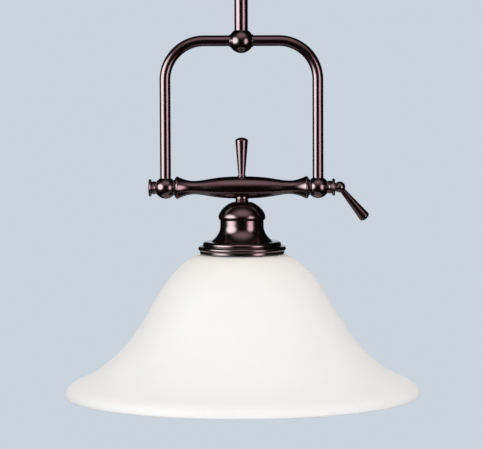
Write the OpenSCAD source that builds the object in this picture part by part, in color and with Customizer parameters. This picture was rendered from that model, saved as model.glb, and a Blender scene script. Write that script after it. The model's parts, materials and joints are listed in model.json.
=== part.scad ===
// Pendant ceiling light. A hollow stem hangs from a ball swivel under a round canopy and
// carries a bent yoke. A turned crossbar pivots between the ball ends of the yoke, and a
// bell-shaped glass shade hangs from the middle of the crossbar.
// Millimetres. Origin: centre of the canopy rim, in the plane of the ceiling. +Z is up,
// +X is the side of the angled clamp lever, +Y is the back. Everything hangs below z = 0.

/* [Strap and threaded tubes] */
// Width of the mounting strap
strap_w = 20; // [17:0.5:30]
// Length of the mounting strap
strap_len = 108; // [106:1:114]
// Thickness of the mounting strap
strap_t = 2; // [1.5:0.1:3]
// Distance between the two box screws
box_screw_spacing = 88.9; // [82:0.1:90]
// Half width of the slots for the box screws
slot_r = 2.3; // [2:0.1:2.8]
// End-to-end length of each slot
slot_len = 14; // [8:0.5:15]
// Distance of the earth screw from the middle of the strap
earth_screw_x = 24; // [18:0.5:28]
// Radius of the earth screw
earth_screw_r = 2; // [1.5:0.1:2.5]
// Radius of the earth screw's head
earth_head_r = 4; // [3:0.1:5]
// Height of the earth screw's head
earth_head_h = 2.2; // [1.5:0.1:3]
// Radius of both threaded tubes
thread_r = 5; // [4.6:0.1:5.4]
// Radius of the passage in the upper threaded tube
tube_bore_r = 3.2; // [2.4:0.1:3.6]
// Width across the flats of the nuts on the threaded tubes
nut_af = 14; // [13:0.5:16]
// Height of those nuts
nut_h = 4; // [3:0.1:5]

/* [Canopy] */
// Outer radius of the canopy
canopy_r = 63.5; // [61:0.5:80]
// Depth of the canopy
canopy_h = 24; // [18:0.5:40]
// Wall of the canopy
canopy_wall = 1.2; // [0.8:0.1:2]
// Radius of the flat in the middle of the canopy
canopy_flat_r = 14; // [13:0.5:20]
// Outer radius of the inner step ring
canopy_ring_r = 55; // [50:0.5:56]
// Radius of the round edge of the inner step ring
canopy_ring_round = 3; // [2:0.1:4]
// Radius of the round edge of the canopy rim
canopy_rim_round = 4; // [2:0.1:6]
// Width of the flat rim that meets the ceiling
canopy_rim_w = 2; // [1.2:0.1:4]
// Radius of the ring nut under the canopy
canopy_nut_r = 12.5; // [11.5:0.1:16]
// Height of the ring nut under the canopy
canopy_nut_h = 5; // [4:0.1:8]

/* [Ball swivel] */
// Radius of the swivel ball
swivel_r = 14; // [13.4:0.1:18]
// Radius of the neck above the swivel ball
swivel_neck_r = 10.5; // [9.8:0.1:12]
// Height of the swivel's top above its pin axis
swivel_top = 20; // [19.5:0.1:26]
// Thickness of the swivel's top, which turns on the threaded tube
swivel_top_t = 3.4; // [2.5:0.1:3.6]
// Radius of the nut pocket in the swivel
nut_pocket_r = 8.4; // [8.3:0.1:9]
// Width across the flats of the nut that carries the swivel
swivel_nut_af = 14; // [13:0.5:14]
// Thickness of the tongue between the ears
tongue_t = 14; // [13:0.1:14.4]
// Radius of the tongue's round head
tongue_r = 9; // [7.5:0.1:9.2]
// Thickness of the tongue's neck, front to back
tongue_neck_t = 11; // [8:0.1:11.5]
// Radius of the collar that takes the stem
collar_r = 9.6; // [9.4:0.1:12]
// Height of that collar
collar_h = 13; // [10:0.5:20]
// Depth of the collar's solid top, above the stem
collar_top_t = 3.5; // [2:0.1:6]
// Radius of the swivel screws' shoulders
swivel_screw_r = 3; // [2.8:0.1:3.4]
// Radius of the swivel screws' threads
swivel_thread_r = 2.5; // [2:0.1:2.7]
// Radius of the swivel screws' heads
swivel_head_r = 4.4; // [3.8:0.1:4.6]
// Distance of the seats of those heads from the middle
swivel_head_x = 11; // [10:0.1:11.2]
// Height of those heads
swivel_head_h = 1.9; // [1.4:0.1:2]
// Half the swing of the stem to the front and to the back, in degrees
swing_max = 45; // [20:1:45]

/* [Stem] */
// Length of the stem
stem_len = 305; // [150:5:900]
// Outer radius of the stem
stem_r = 6.75; // [6.2:0.05:7.2]
// Wall of the stem
stem_wall = 2; // [1:0.1:2.4]

/* [Yoke] */
// Radius of the ball at the top of the yoke
hub_r = 12.45; // [11.8:0.05:16]
// Depth of the stem's seat, from the middle of that ball
hub_stem_seat = 5.8; // [5.6:0.1:7]
// Distance of the arms' seats from the middle of that ball
hub_arm_seat = 6; // [5.5:0.1:7.5]
// Radius of the lip around each arm
hub_lip_r = 6.4; // [6:0.1:7]
// Distance of the lip's face from the middle of the ball
hub_lip_x = 12; // [11.6:0.1:13]
// Outer radius of the arms' tube
arm_r = 5.45; // [5:0.05:5.8]
// Wall of the arms' tube
arm_wall = 1.3; // [0.8:0.1:2]
// Radius of the bend, at the middle of the tube
arm_bend_r = 39; // [20:0.5:60]
// Half the distance between the two legs
yoke_half = 76.35; // [74:0.05:100]
// Height of the yoke, from the pivot axis to the middle of the arms
yoke_h = 146.6; // [110:0.1:220]
// Radius of the balls at the ends of the legs
ball_r = 11; // [10.2:0.1:14]
// Distance of the inner flat of such a ball from its middle
ball_flat_in = 7.6; // [7:0.1:8]
// Distance of the outer flat of such a ball from its middle
ball_flat_out = 8.95; // [8.2:0.05:9.4]
// Height of the leg's seat above the middle of the ball
leg_seat = 5; // [4.4:0.1:6]

/* [Crossbar] */
// Radius of the belly in the middle
bar_belly_r = 11.2; // [10.6:0.1:14]
// Length of the belly's crown
bar_belly_pull = 30; // [15:1:34]
// Distance of the waist from the end of the bar
bar_waist_back = 19.4; // [16:0.1:23]
// Radius of the waist
bar_waist_r = 6.8; // [6.2:0.1:8]
// Length of the waist's curve on each side
bar_waist_pull = 12; // [4:0.5:14]
// Distance of the flare's edge from the end of the bar
bar_flare_back = 3.4; // [2.6:0.1:5]
// Radius of the flare's edge
bar_flare_r = 11.1; // [9.5:0.1:13]
// Radius of the bar's end face
bar_end_r = 8.2; // [7:0.1:9]
// Height of the seat of the upright lever above the axis
bar_top_seat = 10.3; // [9.6:0.1:10.6]
// Depth of the seat of the neck ring below the axis
bar_low_seat = 9; // [8:0.1:9.6]
// Radius of the passage for the lead
lead_way_r = 2.6; // [2:0.1:2.8]

/* [Pivots] */
// Radius of the pivots in the balls
pivot_r = 4; // [3.6:0.05:4.4]
// Wall of the hollow pivot
pivot_wall = 1.5; // [0.8:0.1:1.7]
// Depth of the pivots' seats in the crossbar
pivot_seat = 12.5; // [8:0.5:14]
// Width of the slot in the hollow pivot where the lead enters
pivot_slot_w = 4.8; // [4.4:0.1:6]
// Radius of the clamp stud beyond the ball
stud_r = 2.5; // [2:0.1:2.8]
// Radius of the washers beside the crossbar
washer_r = 7.9; // [6.5:0.1:8.2]
// Thickness of the washers beside the crossbar
washer_t = 1.2; // [0.8:0.1:1.4]
// Half the tilt of the shade to the front and to the back, in degrees
tilt_max = 45; // [20:1:45]

/* [Finials] */
// Radius of the finials' neck
finial_neck_r = 6.1; // [5.6:0.1:7]
// Length of each finial
finial_len = 7.8; // [7.2:0.1:10]
// Radius of the disc at the finial's end
finial_disc_r = 8.8; // [7.5:0.1:11]
// Thickness of that disc
finial_disc_t = 2.8; // [1.8:0.1:3]
// Height of the small bead on the neck
finial_bead_h = 0.6; // [0.3:0.1:1]
// Distance of the bead from the finial's inner end
finial_bead_x = 2.8; // [2:0.1:3.4]
// Radius of the bead's round
finial_bead_round = 0.9; // [0.6:0.1:1.2]
// Depth of the hollow pivot's seat in the left finial
finial_seat = 5; // [3:0.1:6]
// Height of the left finial's domed face
finial_dome_h = 0.6; // [0.2:0.1:1.5]

/* [Levers] */
// Radius of the ball of the clamp lever
lever_ball_r = 5.6; // [5.2:0.1:7]
// Distance of that ball's flat from its middle
lever_ball_flat = 3.6; // [3:0.1:4]
// Radius of the washer under that ball
lever_washer_r = 4.4; // [3.4:0.1:5]
// Thickness of the washer under that ball
lever_washer_t = 1.1; // [0.6:0.1:1.6]
// Angle of the clamp lever to the pivot axis, in degrees
lever_angle = 50.5; // [40:0.5:70]
// Length of the clamp lever from the middle of its ball
lever_len = 41.5; // [30:0.5:60]
// Radius of the clamp lever at its ball
lever_foot_r = 2.75; // [2.2:0.05:3.2]
// Radius of the clamp lever at its tip
lever_tip_r = 5.5; // [4:0.05:7]
// Height of the upright lever above the crossbar's axis
top_lever_h = 50; // [35:0.5:70]
// Radius of the upright lever's foot
top_foot_r = 4.3; // [3.8:0.1:5]
// Radius of the upright lever just above its foot
top_waist_r = 3.55; // [3:0.05:4]
// Radius of the upright lever at its tip
top_tip_r = 6.4; // [4.5:0.05:8]
// Height of the domed tip of each lever
tip_dome_h = 2; // [1:0.1:3]
// Radius of the spigot that holds the clamp lever
spigot_r = 1.5; // [1:0.1:1.7]

/* [Neck and dome cap] */
// Radius of the passage in the lower threaded tube
drop_bore_r = 3.2; // [2.8:0.1:3.6]
// Height of that tube's top above the crossbar's axis
drop_tube_top = 6; // [5:0.1:6.4]
// Radius of the neck ring's two beads
neck_r = 6.7; // [6:0.1:8]
// Radius of the groove between the beads
neck_groove_r = 5.9; // [5.5:0.1:6]
// Distance of the dome cap's top below the crossbar's axis
dome_top = 14.3; // [13:0.1:20]
// Height of the dome cap
dome_h = 18.3; // [15:0.1:30]
// Largest radius of the dome cap
dome_r = 23.65; // [22.6:0.05:30]
// Height of the dome cap's lip
dome_lip_h = 3.6; // [2.5:0.1:5]
// Wall of the dome cap
dome_wall = 1.2; // [0.8:0.1:2]
// Radius of the flat on top of the dome cap
dome_flat_r = 8.5; // [7.5:0.1:10]

/* [Shade holder] */
// Radius of the holder's drum
holder_r = 21.8; // [21.4:0.1:24]
// Height of the holder
holder_h = 32.9; // [30:0.1:40]
// Wall of the holder
holder_wall = 1.5; // [1:0.1:2]
// Height of the straight part of the drum
holder_drum_h = 5.4; // [3:0.1:8]
// Depth of the foot of the holder's flare
holder_flare_h = 21.4; // [19:0.1:23]
// Radius of the holder's flare at its foot
holder_flare_r = 31; // [29:0.1:32]
// Outer radius of the upper step ring
step_ring_r = 39.4; // [38:0.1:40]
// Radius of the round edge of the upper step ring
step_ring_round = 3; // [2:0.1:3.6]
// Outer radius of the lower step ring
base_ring_r = 44.15; // [43:0.05:46]
// Radius of the round edge of the lower step ring
base_ring_round = 2.3; // [1.6:0.1:2.4]
// Outer radius of the band under the rings
band_r = 42.5; // [41.6:0.1:42.9]
// Height of that band
band_h = 2.2; // [1:0.1:3]

/* [Glass shade] */
// Thickness of the glass
glass_t = 3.5; // [2.5:0.1:5]
// Radius of the hole at the top of the glass
glass_hole_r = 20.6; // [20:0.1:22]
// Radius of the flat at the top of the glass
glass_flat_r = 38; // [34:0.5:40]
// Radius of the glass at its waist
glass_waist_r = 85.8; // [75:0.1:95]
// Depth of the waist below the top of the glass
glass_waist_h = 42.8; // [36:0.1:52]
// Slope of the glass at its waist, in degrees below level
glass_waist_slope = 60; // [52:0.5:66]
// Radius of the glass where the rim begins to turn down
glass_flare_r = 165.5; // [150:0.5:172]
// Depth of that place below the top of the glass
glass_flare_h = 127.9; // [115:0.1:132]
// Slope of the glass there, in degrees below level
glass_flare_slope = 22.5; // [18:0.5:35]
// Outer radius of the rim
glass_rim_r = 178.3; // [174:0.1:190]
// Height of the glass
glass_h = 142.8; // [141:0.1:160]
// Thickness of the soft ring on top of the glass
gasket_t = 1; // [0.5:0.1:2]
// Width of the soft ring
gasket_w = 11; // [5:0.5:12]

/* [Socket and shade ring] */
// Outer radius of the lamp socket
socket_r = 19; // [17.5:0.1:19.2]
// Depth of the socket's top below the crossbar's axis
socket_top = 41; // [40:0.1:43]
// Length of the socket
socket_len = 49; // [46:0.5:54]
// Thickness of the socket's cap, where the threaded tube is screwed in
socket_cap_t = 6; // [4:0.1:8]
// Height of the wiring chamber
chamber_h = 8; // [6:0.1:10]
// Radius of the wiring chamber
chamber_r = 8; // [6:0.1:12]
// Thickness of the floor of the wiring chamber
chamber_floor_t = 3; // [2:0.1:4]
// Inner radius of the screw shell
shell_r = 13.35; // [13.3:0.05:13.6]
// Thickness of the screw shell's metal
shell_t = 0.55; // [0.3:0.05:0.8]
// Distance of the screw shell from the socket's mouth
shell_back = 2; // [1:0.1:4]
// Radius of the contact's post
post_r = 1.6; // [1:0.1:2]
// Height of the contact's post above the chamber's floor
post_h = 3; // [1:0.1:5]
// Radius of the contact's disc
contact_r = 5; // [3:0.1:7]
// Thickness of the contact's disc
contact_t = 2; // [1:0.1:3]
// Outer radius of the ring that holds the glass
shade_ring_r = 26; // [24:0.1:32]
// Height of that ring
shade_ring_h = 5.5; // [4:0.1:8]
// Thickness of the fibre washer under the glass
fibre_t = 0.8; // [0.4:0.1:1.5]

/* [Bulb] */
// Radius of the bulb
bulb_r = 30; // [25:0.5:34]
// Length of the bulb with its base
bulb_len = 110; // [100:1:125]
// Radius of the bulb's base
bulb_base_r = 13.1; // [12.9:0.05:13.2]
// Length of the bulb's metal base
bulb_base_h = 24; // [20:0.5:26]
// Radius of the glass where it leaves the base
bulb_neck_r = 12.9; // [12.5:0.1:13]
// Thickness of the bulb's glass
bulb_wall = 1; // [0.6:0.1:1.5]
// Thickness of the base's metal
base_wall = 0.5; // [0.3:0.1:0.8]
// Height of the bulb's insulator
insulator_h = 2; // [1:0.1:3]
// Radius of the bulb's contact
tip_r = 4.8; // [3:0.1:6]
// Thickness of the bulb's contact
tip_t = 0.9; // [0.5:0.1:1.2]

/* [Lead] */
// Radius of the sleeved lead
lead_r = 1.5; // [1.2:0.05:1.6]
// Radius of the lead's bend in the hub and in the crossbar
lead_bend_r = 4; // [3:0.1:4.2]
// Radius of the lead's bend in the left ball
lead_ball_bend_r = 3; // [2.6:0.1:3.2]

/* [Fits] */
// Gap around pieces that are screwed or pushed together
seat_gap = 0.05; // [0.03:0.01:0.08]
// Gap around shafts that turn
run_gap = 0.05; // [0.02:0.01:0.1]
// Gap beside pieces that turn
side_gap = 0.15; // [0.1:0.01:0.2]
// Gap around the soft parts of a moving joint
free_gap = 0.3; // [0.2:0.05:0.5]

/* [Hidden] */
$fn = 96;
eps = 0.01;
far = 400;

// Heights in the ceiling group, from the ceiling down
swivel_top_z = -canopy_h - canopy_nut_h - side_gap;
pin_z = swivel_top_z - swivel_top;
nut_pocket_z = pin_z + tongue_r + 2 * free_gap;
swivel_nut_z = swivel_top_z - swivel_top_t - side_gap;
thread_end_z = swivel_nut_z - nut_h;
collar_z = pin_z - swivel_r - 2 * free_gap;
stem_top_z = collar_z - collar_top_t;
stem_end_z = stem_top_z - stem_len;
hub_z = stem_end_z - hub_stem_seat;
bar_z = hub_z - yoke_h;

// Depths below the crossbar's axis
holder_top = dome_top + dome_h;
holder_end = holder_top + holder_h;
glass_top = holder_end + gasket_t;
drop_tube_end = socket_top + socket_cap_t;
chamber_end = drop_tube_end + chamber_h;
shell_top = chamber_end + chamber_floor_t;
contact_end = shell_top + contact_t;
socket_end = socket_top + socket_len;
bulb_base_top = contact_end + tip_t + insulator_h;
bulb_base_end = bulb_base_top + bulb_base_h;
bulb_end = contact_end + bulb_len;

// Places along the pivot axis, from the middle outwards; the bar fits between the balls
bar_half = yoke_half - ball_flat_in - side_gap - washer_t;
washer_x = bar_half;
ball_out_x = yoke_half + ball_flat_out;
finial_x = ball_out_x + side_gap;
finial_end_x = finial_x + finial_len;
lever_washer_x = finial_end_x;
lever_ball_x = lever_washer_x + lever_washer_t + side_gap + lever_ball_flat;
stud_end_x = lever_ball_x + 0.2;

arm_way_r = arm_r - arm_wall;
stem_way_r = stem_r - stem_wall;
pivot_way_r = pivot_r - pivot_wall;
tongue_way = 2 * (lead_r + 3 * free_gap);

// Height of the lower edge of the hollow pivot's slot, so that the lead clears it at full tilt
pivot_slot_z = pivot_way_r * cos(tilt_max + asin(lead_r / pivot_way_r) + 8);

// Where the clamp lever meets its ball, along the lever
lever_seat = sqrt(lever_ball_r * lever_ball_r - lever_foot_r * lever_foot_r);

// ---- Lines and curves ------------------------------------------------------------------

// A cubic curve from a to d, without its first point.
function curve(a, b, c, d, n = 12) = [
    for (i = [1 : n])
        let (t = i / n, u = 1 - t)
        u * u * u * a + 3 * u * u * t * b + 3 * u * t * t * c + t * t * t * d
];

// An arc round a centre, with both its ends.
function arc(centre, r, from, to, n = 8) = [
    for (i = [0 : n])
        let (a = from + (to - from) * i / n)
        centre + r * [cos(a), sin(a)]
];

// A unit step that goes outwards and down by an angle.
function down(angle) = [cos(angle), -sin(angle)];

function reverse(list) = [for (i = [len(list) - 1 : -1 : 0]) list[i]];

// The inner line of a wall whose outer line runs outwards and down.
function inner(line, wall) = [
    for (i = [0 : len(line) - 1])
        let (step = line[min(i + 1, len(line) - 1)] - line[max(i - 1, 0)])
        let (p = line[i] - wall * [-step[1], step[0]] / norm(step))
        [max(p[0], 0), p[1]]
];

// ---- Building blocks -------------------------------------------------------------------

// A ring, or a disc where the inner radius is left out, from its lower face up.
module ring(z, h, r, bore = 0) {
    translate([0, 0, z])
        difference() {
            cylinder(h = h, r = r);
            if (bore > 0)
                translate([0, 0, -eps]) cylinder(h = h + 2 * eps, r = bore);
        }
}

// A round hole or rod along X, from one place to another.
module rod_x(x0, x1, r) {
    translate([x0, 0, 0]) rotate([0, 90, 0]) cylinder(h = x1 - x0, r = r);
}

// A shape turned about X, from a line of [radius, place].
module turned_x(line) {
    rotate([0, 90, 0]) rotate_extrude() polygon(line);
}

module hex_nut(z, af, h, bore) {
    translate([0, 0, z])
        difference() {
            cylinder(h = h, r = af / 2 / cos(30), $fn = 6);
            translate([0, 0, -eps]) cylinder(h = h + 2 * eps, r = bore);
        }
}

// A quarter of a round tube's bend in the XZ plane, from an angle on.
module bend(x, z, bend_r, r, from) {
    translate([x, 0, z])
        rotate([90, 0, 0])
        rotate([0, 0, from])
        rotate_extrude(angle = 90)
        translate([bend_r, 0]) circle(r = r);
}

module at_bar() {
    translate([0, 0, bar_z]) children();
}

module at_pin() {
    translate([0, 0, pin_z]) children();
}

module left() {
    mirror([1, 0, 0]) children();
}

// ---- Ceiling group ---------------------------------------------------------------------

module mounting_strap() color("gainsboro") {
    translate([0, 0, -strap_t])
        difference() {
            intersection() {
                translate([-strap_len / 2, -strap_w / 2, 0])
                    cube([strap_len, strap_w, strap_t]);
                cylinder(h = strap_t, r = strap_len / 2);
            }
            translate([0, 0, -eps]) {
                cylinder(h = strap_t + 2 * eps, r = thread_r + seat_gap);
                translate([earth_screw_x, 0, 0])
                    cylinder(h = strap_t + 2 * eps, r = earth_screw_r + seat_gap);
                for (side = [-1, 1])
                    translate([side * box_screw_spacing / 2, 0, 0]) strap_slot();
            }
        }
}

module strap_slot() {
    straight = slot_len - 2 * slot_r;
    h = strap_t + 2 * eps;
    translate([-straight / 2, -slot_r, 0]) cube([straight, 2 * slot_r, h]);
    for (end = [-1, 1])
        translate([end * straight / 2, 0, 0]) cylinder(h = h, r = slot_r);
}

module canopy_tube() color("goldenrod")
    ring(thread_end_z, -thread_end_z, thread_r, tube_bore_r);

module strap_nut() color("silver")
    hex_nut(-strap_t - nut_h, nut_af, nut_h, thread_r + seat_gap);

module earth_screw() color("forestgreen")
    translate([earth_screw_x, 0, 0]) {
        ring(-strap_t - earth_head_h, earth_head_h, earth_head_r);
        ring(-strap_t - eps, strap_t + eps, earth_screw_r);
    }

// The canopy's outer line, from the tube's hole to the ceiling.
function canopy_line() =
    let (step = [canopy_ring_r - canopy_ring_round - 4, -canopy_h / 2])
    let (ring_z = step[1] + canopy_ring_round)
    let (rim_z = -canopy_rim_round)
    concat(
        [[thread_r + seat_gap, -canopy_h], [canopy_flat_r, -canopy_h]],
        curve([canopy_flat_r, -canopy_h], [canopy_flat_r + 16, -canopy_h],
              step - [8, 6], step),
        arc([canopy_ring_r - canopy_ring_round, ring_z], canopy_ring_round, -90, 0),
        arc([canopy_r - canopy_rim_round, rim_z], canopy_rim_round, -90, 0),
        [[canopy_r, 0]]
    );

// The canopy's inner line, from the ceiling back to the tube's hole.
function canopy_inside() =
    let (step = [canopy_ring_r - canopy_ring_round - 4, -canopy_h / 2])
    let (w = canopy_wall)
    concat(
        [[canopy_r - canopy_rim_w, 0], [canopy_r - canopy_rim_w, -canopy_rim_round]],
        [[canopy_ring_r - w, step[1] + canopy_ring_round + w]],
        reverse(curve([canopy_flat_r, w - canopy_h], [canopy_flat_r + 15, w - canopy_h],
                      step - [8, 6 - w], step + [0, w], 10)),
        [[canopy_flat_r, w - canopy_h], [thread_r + seat_gap, w - canopy_h]]
    );

module canopy() color("saddlebrown")
    rotate_extrude() polygon(concat(canopy_line(), canopy_inside()));

module canopy_nut() color("saddlebrown")
    difference() {
        union() {
            ring(-canopy_h - canopy_nut_h + 1, canopy_nut_h - 1, canopy_nut_r);
            translate([0, 0, -canopy_h - canopy_nut_h])
                cylinder(h = 1 + eps, r1 = canopy_nut_r - 1, r2 = canopy_nut_r);
        }
        ring(-canopy_h - canopy_nut_h - eps, canopy_nut_h + 2 * eps, thread_r + seat_gap);
    }

module swivel_nut() color("silver")
    hex_nut(thread_end_z, swivel_nut_af, nut_h, thread_r + seat_gap);

// The lead ends in a cup, so that the lower lead's round end can turn in it.
module canopy_lead() color("white")
    difference() {
        ring(pin_z, -pin_z, lead_r);
        at_pin() sphere(r = lead_r + free_gap);
    }

// ---- Ball swivel -----------------------------------------------------------------------

module swivel_ball() color("saddlebrown")
    difference() {
        union() {
            at_pin() sphere(r = swivel_r);
            ring(pin_z, swivel_top, swivel_neck_r);
        }
        slot_half = tongue_t / 2 + free_gap;
        translate([-slot_half, -far / 2, pin_z - far])
            cube([2 * slot_half, far, nut_pocket_z - pin_z + far]);
        ring(nut_pocket_z - eps, swivel_nut_z + side_gap - nut_pocket_z + eps, nut_pocket_r);
        ring(pin_z, swivel_top + eps, thread_r + run_gap);
        at_pin() {
            rod_x(-swivel_r, swivel_r, swivel_screw_r + run_gap);
            for (side = [0, 1])
                mirror([side, 0, 0]) rod_x(swivel_head_x, swivel_r, swivel_head_r + free_gap);
        }
    }

// The tongue's head turns between the ears; its collar below takes the stem.
module stem_tongue() color("saddlebrown")
    difference() {
        union() {
            at_pin() rod_x(-tongue_t / 2, tongue_t / 2, tongue_r);
            translate([-tongue_t / 2, -tongue_neck_t / 2, collar_z - 1])
                cube([tongue_t, tongue_neck_t, pin_z - collar_z + 1]);
            translate([0, 0, collar_z - 1]) cylinder(h = 1, r1 = collar_r, r2 = collar_r - 1);
            ring(collar_z - collar_h + 1, collar_h - 2 + eps, collar_r);
            translate([0, 0, collar_z - collar_h])
                cylinder(h = 1 + eps, r1 = collar_r - 1, r2 = collar_r);
        }
        ring(collar_z - collar_h - eps, stem_top_z - collar_z + collar_h + eps,
             stem_r + seat_gap);
        ring(stem_top_z - eps, pin_z - stem_top_z + eps, tongue_way / 2);
        at_pin() {
            swing_notch();
            for (side = [0, 1])
                mirror([side, 0, 0])
                    rod_x(tongue_way / 2, tongue_t, swivel_thread_r + seat_gap);
        }
    }

// Room for the upper lead while the tongue swings to the front and to the back.
module swing_notch() {
    depth = tongue_way / 2 / sin(swing_max);
    top = 2 * tongue_r;
    reach = (top + depth) * tan(swing_max);
    rotate([90, 0, 90])
        translate([0, 0, -tongue_way / 2])
        linear_extrude(height = tongue_way)
        polygon([[0, -depth], [reach, top], [-reach, top]]);
}

module swivel_screws() color("goldenrod")
    at_pin()
        for (side = [0, 1])
            mirror([side, 0, 0]) swivel_screw();

module swivel_screw() {
    head_x = swivel_head_x + side_gap;
    difference() {
        union() {
            rod_x(tongue_way / 2 + free_gap, tongue_t / 2 + eps, swivel_thread_r);
            rod_x(tongue_t / 2, head_x + eps, swivel_screw_r);
            rod_x(head_x, head_x + swivel_head_h, swivel_head_r);
        }
        translate([head_x + swivel_head_h - 0.8, -swivel_head_r, -0.5])
            cube([2, 2 * swivel_head_r, 1]);
    }
}

// ---- Stem and yoke ---------------------------------------------------------------------

module stem() color("saddlebrown")
    ring(stem_end_z, stem_len, stem_r, stem_way_r);

module yoke_hub() color("saddlebrown")
    translate([0, 0, hub_z])
        difference() {
            union() {
                rotate([0, 90, 0]) sphere(r = hub_r);
                rod_x(-hub_lip_x, hub_lip_x, hub_lip_r);
            }
            ring(hub_stem_seat, far, stem_r + seat_gap);
            ring(-lead_r - 2 * free_gap, far / 2, stem_way_r);
            rod_x(-far, far, arm_way_r);
            rod_x(hub_arm_seat, far, arm_r + seat_gap);
            left() rod_x(hub_arm_seat, far, arm_r + seat_gap);
        }

// The run of the right arm's tube, for its outside and for its bore.
module arm_run(r, extra) {
    x_bend = yoke_half - arm_bend_r;
    z_bend = hub_z - arm_bend_r;
    leg_end = bar_z + leg_seat;
    translate([0, 0, hub_z]) rod_x(hub_arm_seat - extra, x_bend, r);
    bend(x_bend, z_bend, arm_bend_r, r, 0);
    translate([yoke_half, 0, 0]) ring(leg_end - extra, z_bend - leg_end + extra, r);
}

module right_arm() color("saddlebrown")
    difference() {
        arm_run(arm_r, 0);
        arm_run(arm_way_r, eps);
    }

module left_arm() color("saddlebrown")
    left()
        difference() {
            arm_run(arm_r, 0);
            arm_run(arm_way_r, eps);
        }

// The ball at the end of a leg, drilled for the leg and for the pivot.
module leg_ball() {
    difference() {
        intersection() {
            sphere(r = ball_r);
            rod_x(-ball_flat_in, ball_flat_out, 2 * ball_r);
        }
        ring(leg_seat, far, arm_r + seat_gap);
        ring(0, far, arm_way_r);
        rod_x(-ball_r, ball_r, pivot_r + run_gap);
    }
}

module right_ball() color("saddlebrown")
    at_bar() translate([yoke_half, 0, 0]) leg_ball();

module left_ball() color("saddlebrown")
    at_bar() left() translate([yoke_half, 0, 0]) leg_ball();

// From the swivel down the stem, through the hub and the left arm, into the left ball.
module yoke_lead() color("white") {
    x_bend = yoke_half - arm_bend_r;
    z_bend = hub_z - arm_bend_r;
    z_turn = bar_z + lead_ball_bend_r;
    at_pin() sphere(r = lead_r);
    ring(hub_z + lead_bend_r, pin_z - hub_z - lead_bend_r, lead_r);
    bend(-lead_bend_r, hub_z + lead_bend_r, lead_bend_r, lead_r, -90);
    translate([0, 0, hub_z]) rod_x(-x_bend, -lead_bend_r, lead_r);
    bend(-x_bend, z_bend, arm_bend_r, lead_r, 90);
    translate([-yoke_half, 0, 0]) ring(z_turn, z_bend - z_turn, lead_r);
    bend(lead_ball_bend_r - yoke_half, z_turn, lead_ball_bend_r, lead_r, 180);
}

// ---- Crossbar --------------------------------------------------------------------------

// Half the crossbar's outline as [radius, place], from the middle to the end.
function bar_line() =
    let (waist = [bar_waist_r, bar_half - bar_waist_back])
    let (flare = [bar_flare_r, bar_half - bar_flare_back])
    concat(
        curve([bar_belly_r, 0], [bar_belly_r, bar_belly_pull],
              waist - [0, bar_waist_pull], waist, 16),
        curve(waist, waist + [0, bar_waist_pull / 2], flare - [2, 4], flare, 10),
        curve(flare, flare + [0.7, 1.2],
              [bar_end_r + 2.4, bar_half - 0.9], [bar_end_r, bar_half], 8)
    );

module crossbar() color("saddlebrown")
    at_bar()
        difference() {
            line = bar_line();
            turned_x(concat(
                [[0, -bar_half]],
                reverse([for (p = line) [p[0], -p[1]]]),
                [[bar_belly_r, 0]],
                line,
                [[0, bar_half]]
            ));
            rod_x(-bar_half, 0, lead_way_r);
            rod_x(bar_half - pivot_seat, bar_half + eps, pivot_r + seat_gap);
            left() rod_x(bar_half - pivot_seat, bar_half + eps, pivot_r + seat_gap);
            ring(-far, far + drop_tube_top, thread_r + seat_gap);
            ring(0, far, stud_r + run_gap);
            ring(bar_top_seat, far, top_foot_r + free_gap);
            ring(-bar_low_seat - far, far, neck_r + free_gap);
        }

// The hollow pivot is open at the top inside the ball, where the lead comes in.
module left_pivot() color("goldenrod")
    at_bar()
        left()
        difference() {
            rod_x(bar_half - pivot_seat, finial_x + finial_seat, pivot_r);
            rod_x(bar_half - pivot_seat - eps, finial_x + finial_seat + eps, pivot_way_r);
            translate([yoke_half - pivot_slot_w / 2, -far / 2, pivot_slot_z])
                cube([pivot_slot_w, far, far]);
        }

module right_pivot() color("goldenrod")
    at_bar() {
        rod_x(bar_half - pivot_seat, ball_out_x, pivot_r);
        rod_x(ball_out_x - eps, stud_end_x, stud_r);
    }

module pivot_washer() {
    at_bar()
        difference() {
            rod_x(washer_x, washer_x + washer_t, washer_r);
            rod_x(washer_x - eps, washer_x + washer_t + eps, pivot_r + seat_gap);
        }
}

module right_washer() color("silver") pivot_washer();

module left_washer() color("silver") left() pivot_washer();

// A finial's outline as [radius, place], from its inner end to the disc's face.
function finial_line() =
    let (disc_x = finial_len - finial_disc_t / 2)
    let (edge = finial_disc_t / 2)
    concat(
        [[finial_neck_r + 0.2, 0], [finial_neck_r, 0.8]],
        arc([finial_neck_r + finial_bead_h - finial_bead_round, finial_bead_x],
            finial_bead_round, -42, 42),
        curve([finial_neck_r, finial_bead_x + 1], [finial_neck_r, disc_x - edge - 0.2],
              [finial_disc_r - 1.6, disc_x - edge],
              [finial_disc_r - edge, disc_x - edge], 4),
        arc([finial_disc_r - edge, disc_x], edge, -60, 90)
    );

module finial_body(line_end) {
    at_bar()
        translate([finial_x, 0, 0])
        turned_x(concat([[0, 0]], finial_line(), line_end));
}

module right_finial() color("saddlebrown")
    difference() {
        finial_body([[0, finial_len]]);
        at_bar() rod_x(finial_x - eps, finial_end_x + eps, stud_r + seat_gap);
    }

module left_finial() color("saddlebrown")
    left()
        difference() {
            face = [0, finial_len + finial_dome_h];
            edge = [finial_disc_r - finial_disc_t / 2, finial_len];
            finial_body(curve(edge, edge + [-2, finial_dome_h * 0.8], face + [3, 0], face, 6));
            at_bar() rod_x(finial_x - eps, finial_x + finial_seat, pivot_r + seat_gap);
        }

// ---- Levers ----------------------------------------------------------------------------

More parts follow.
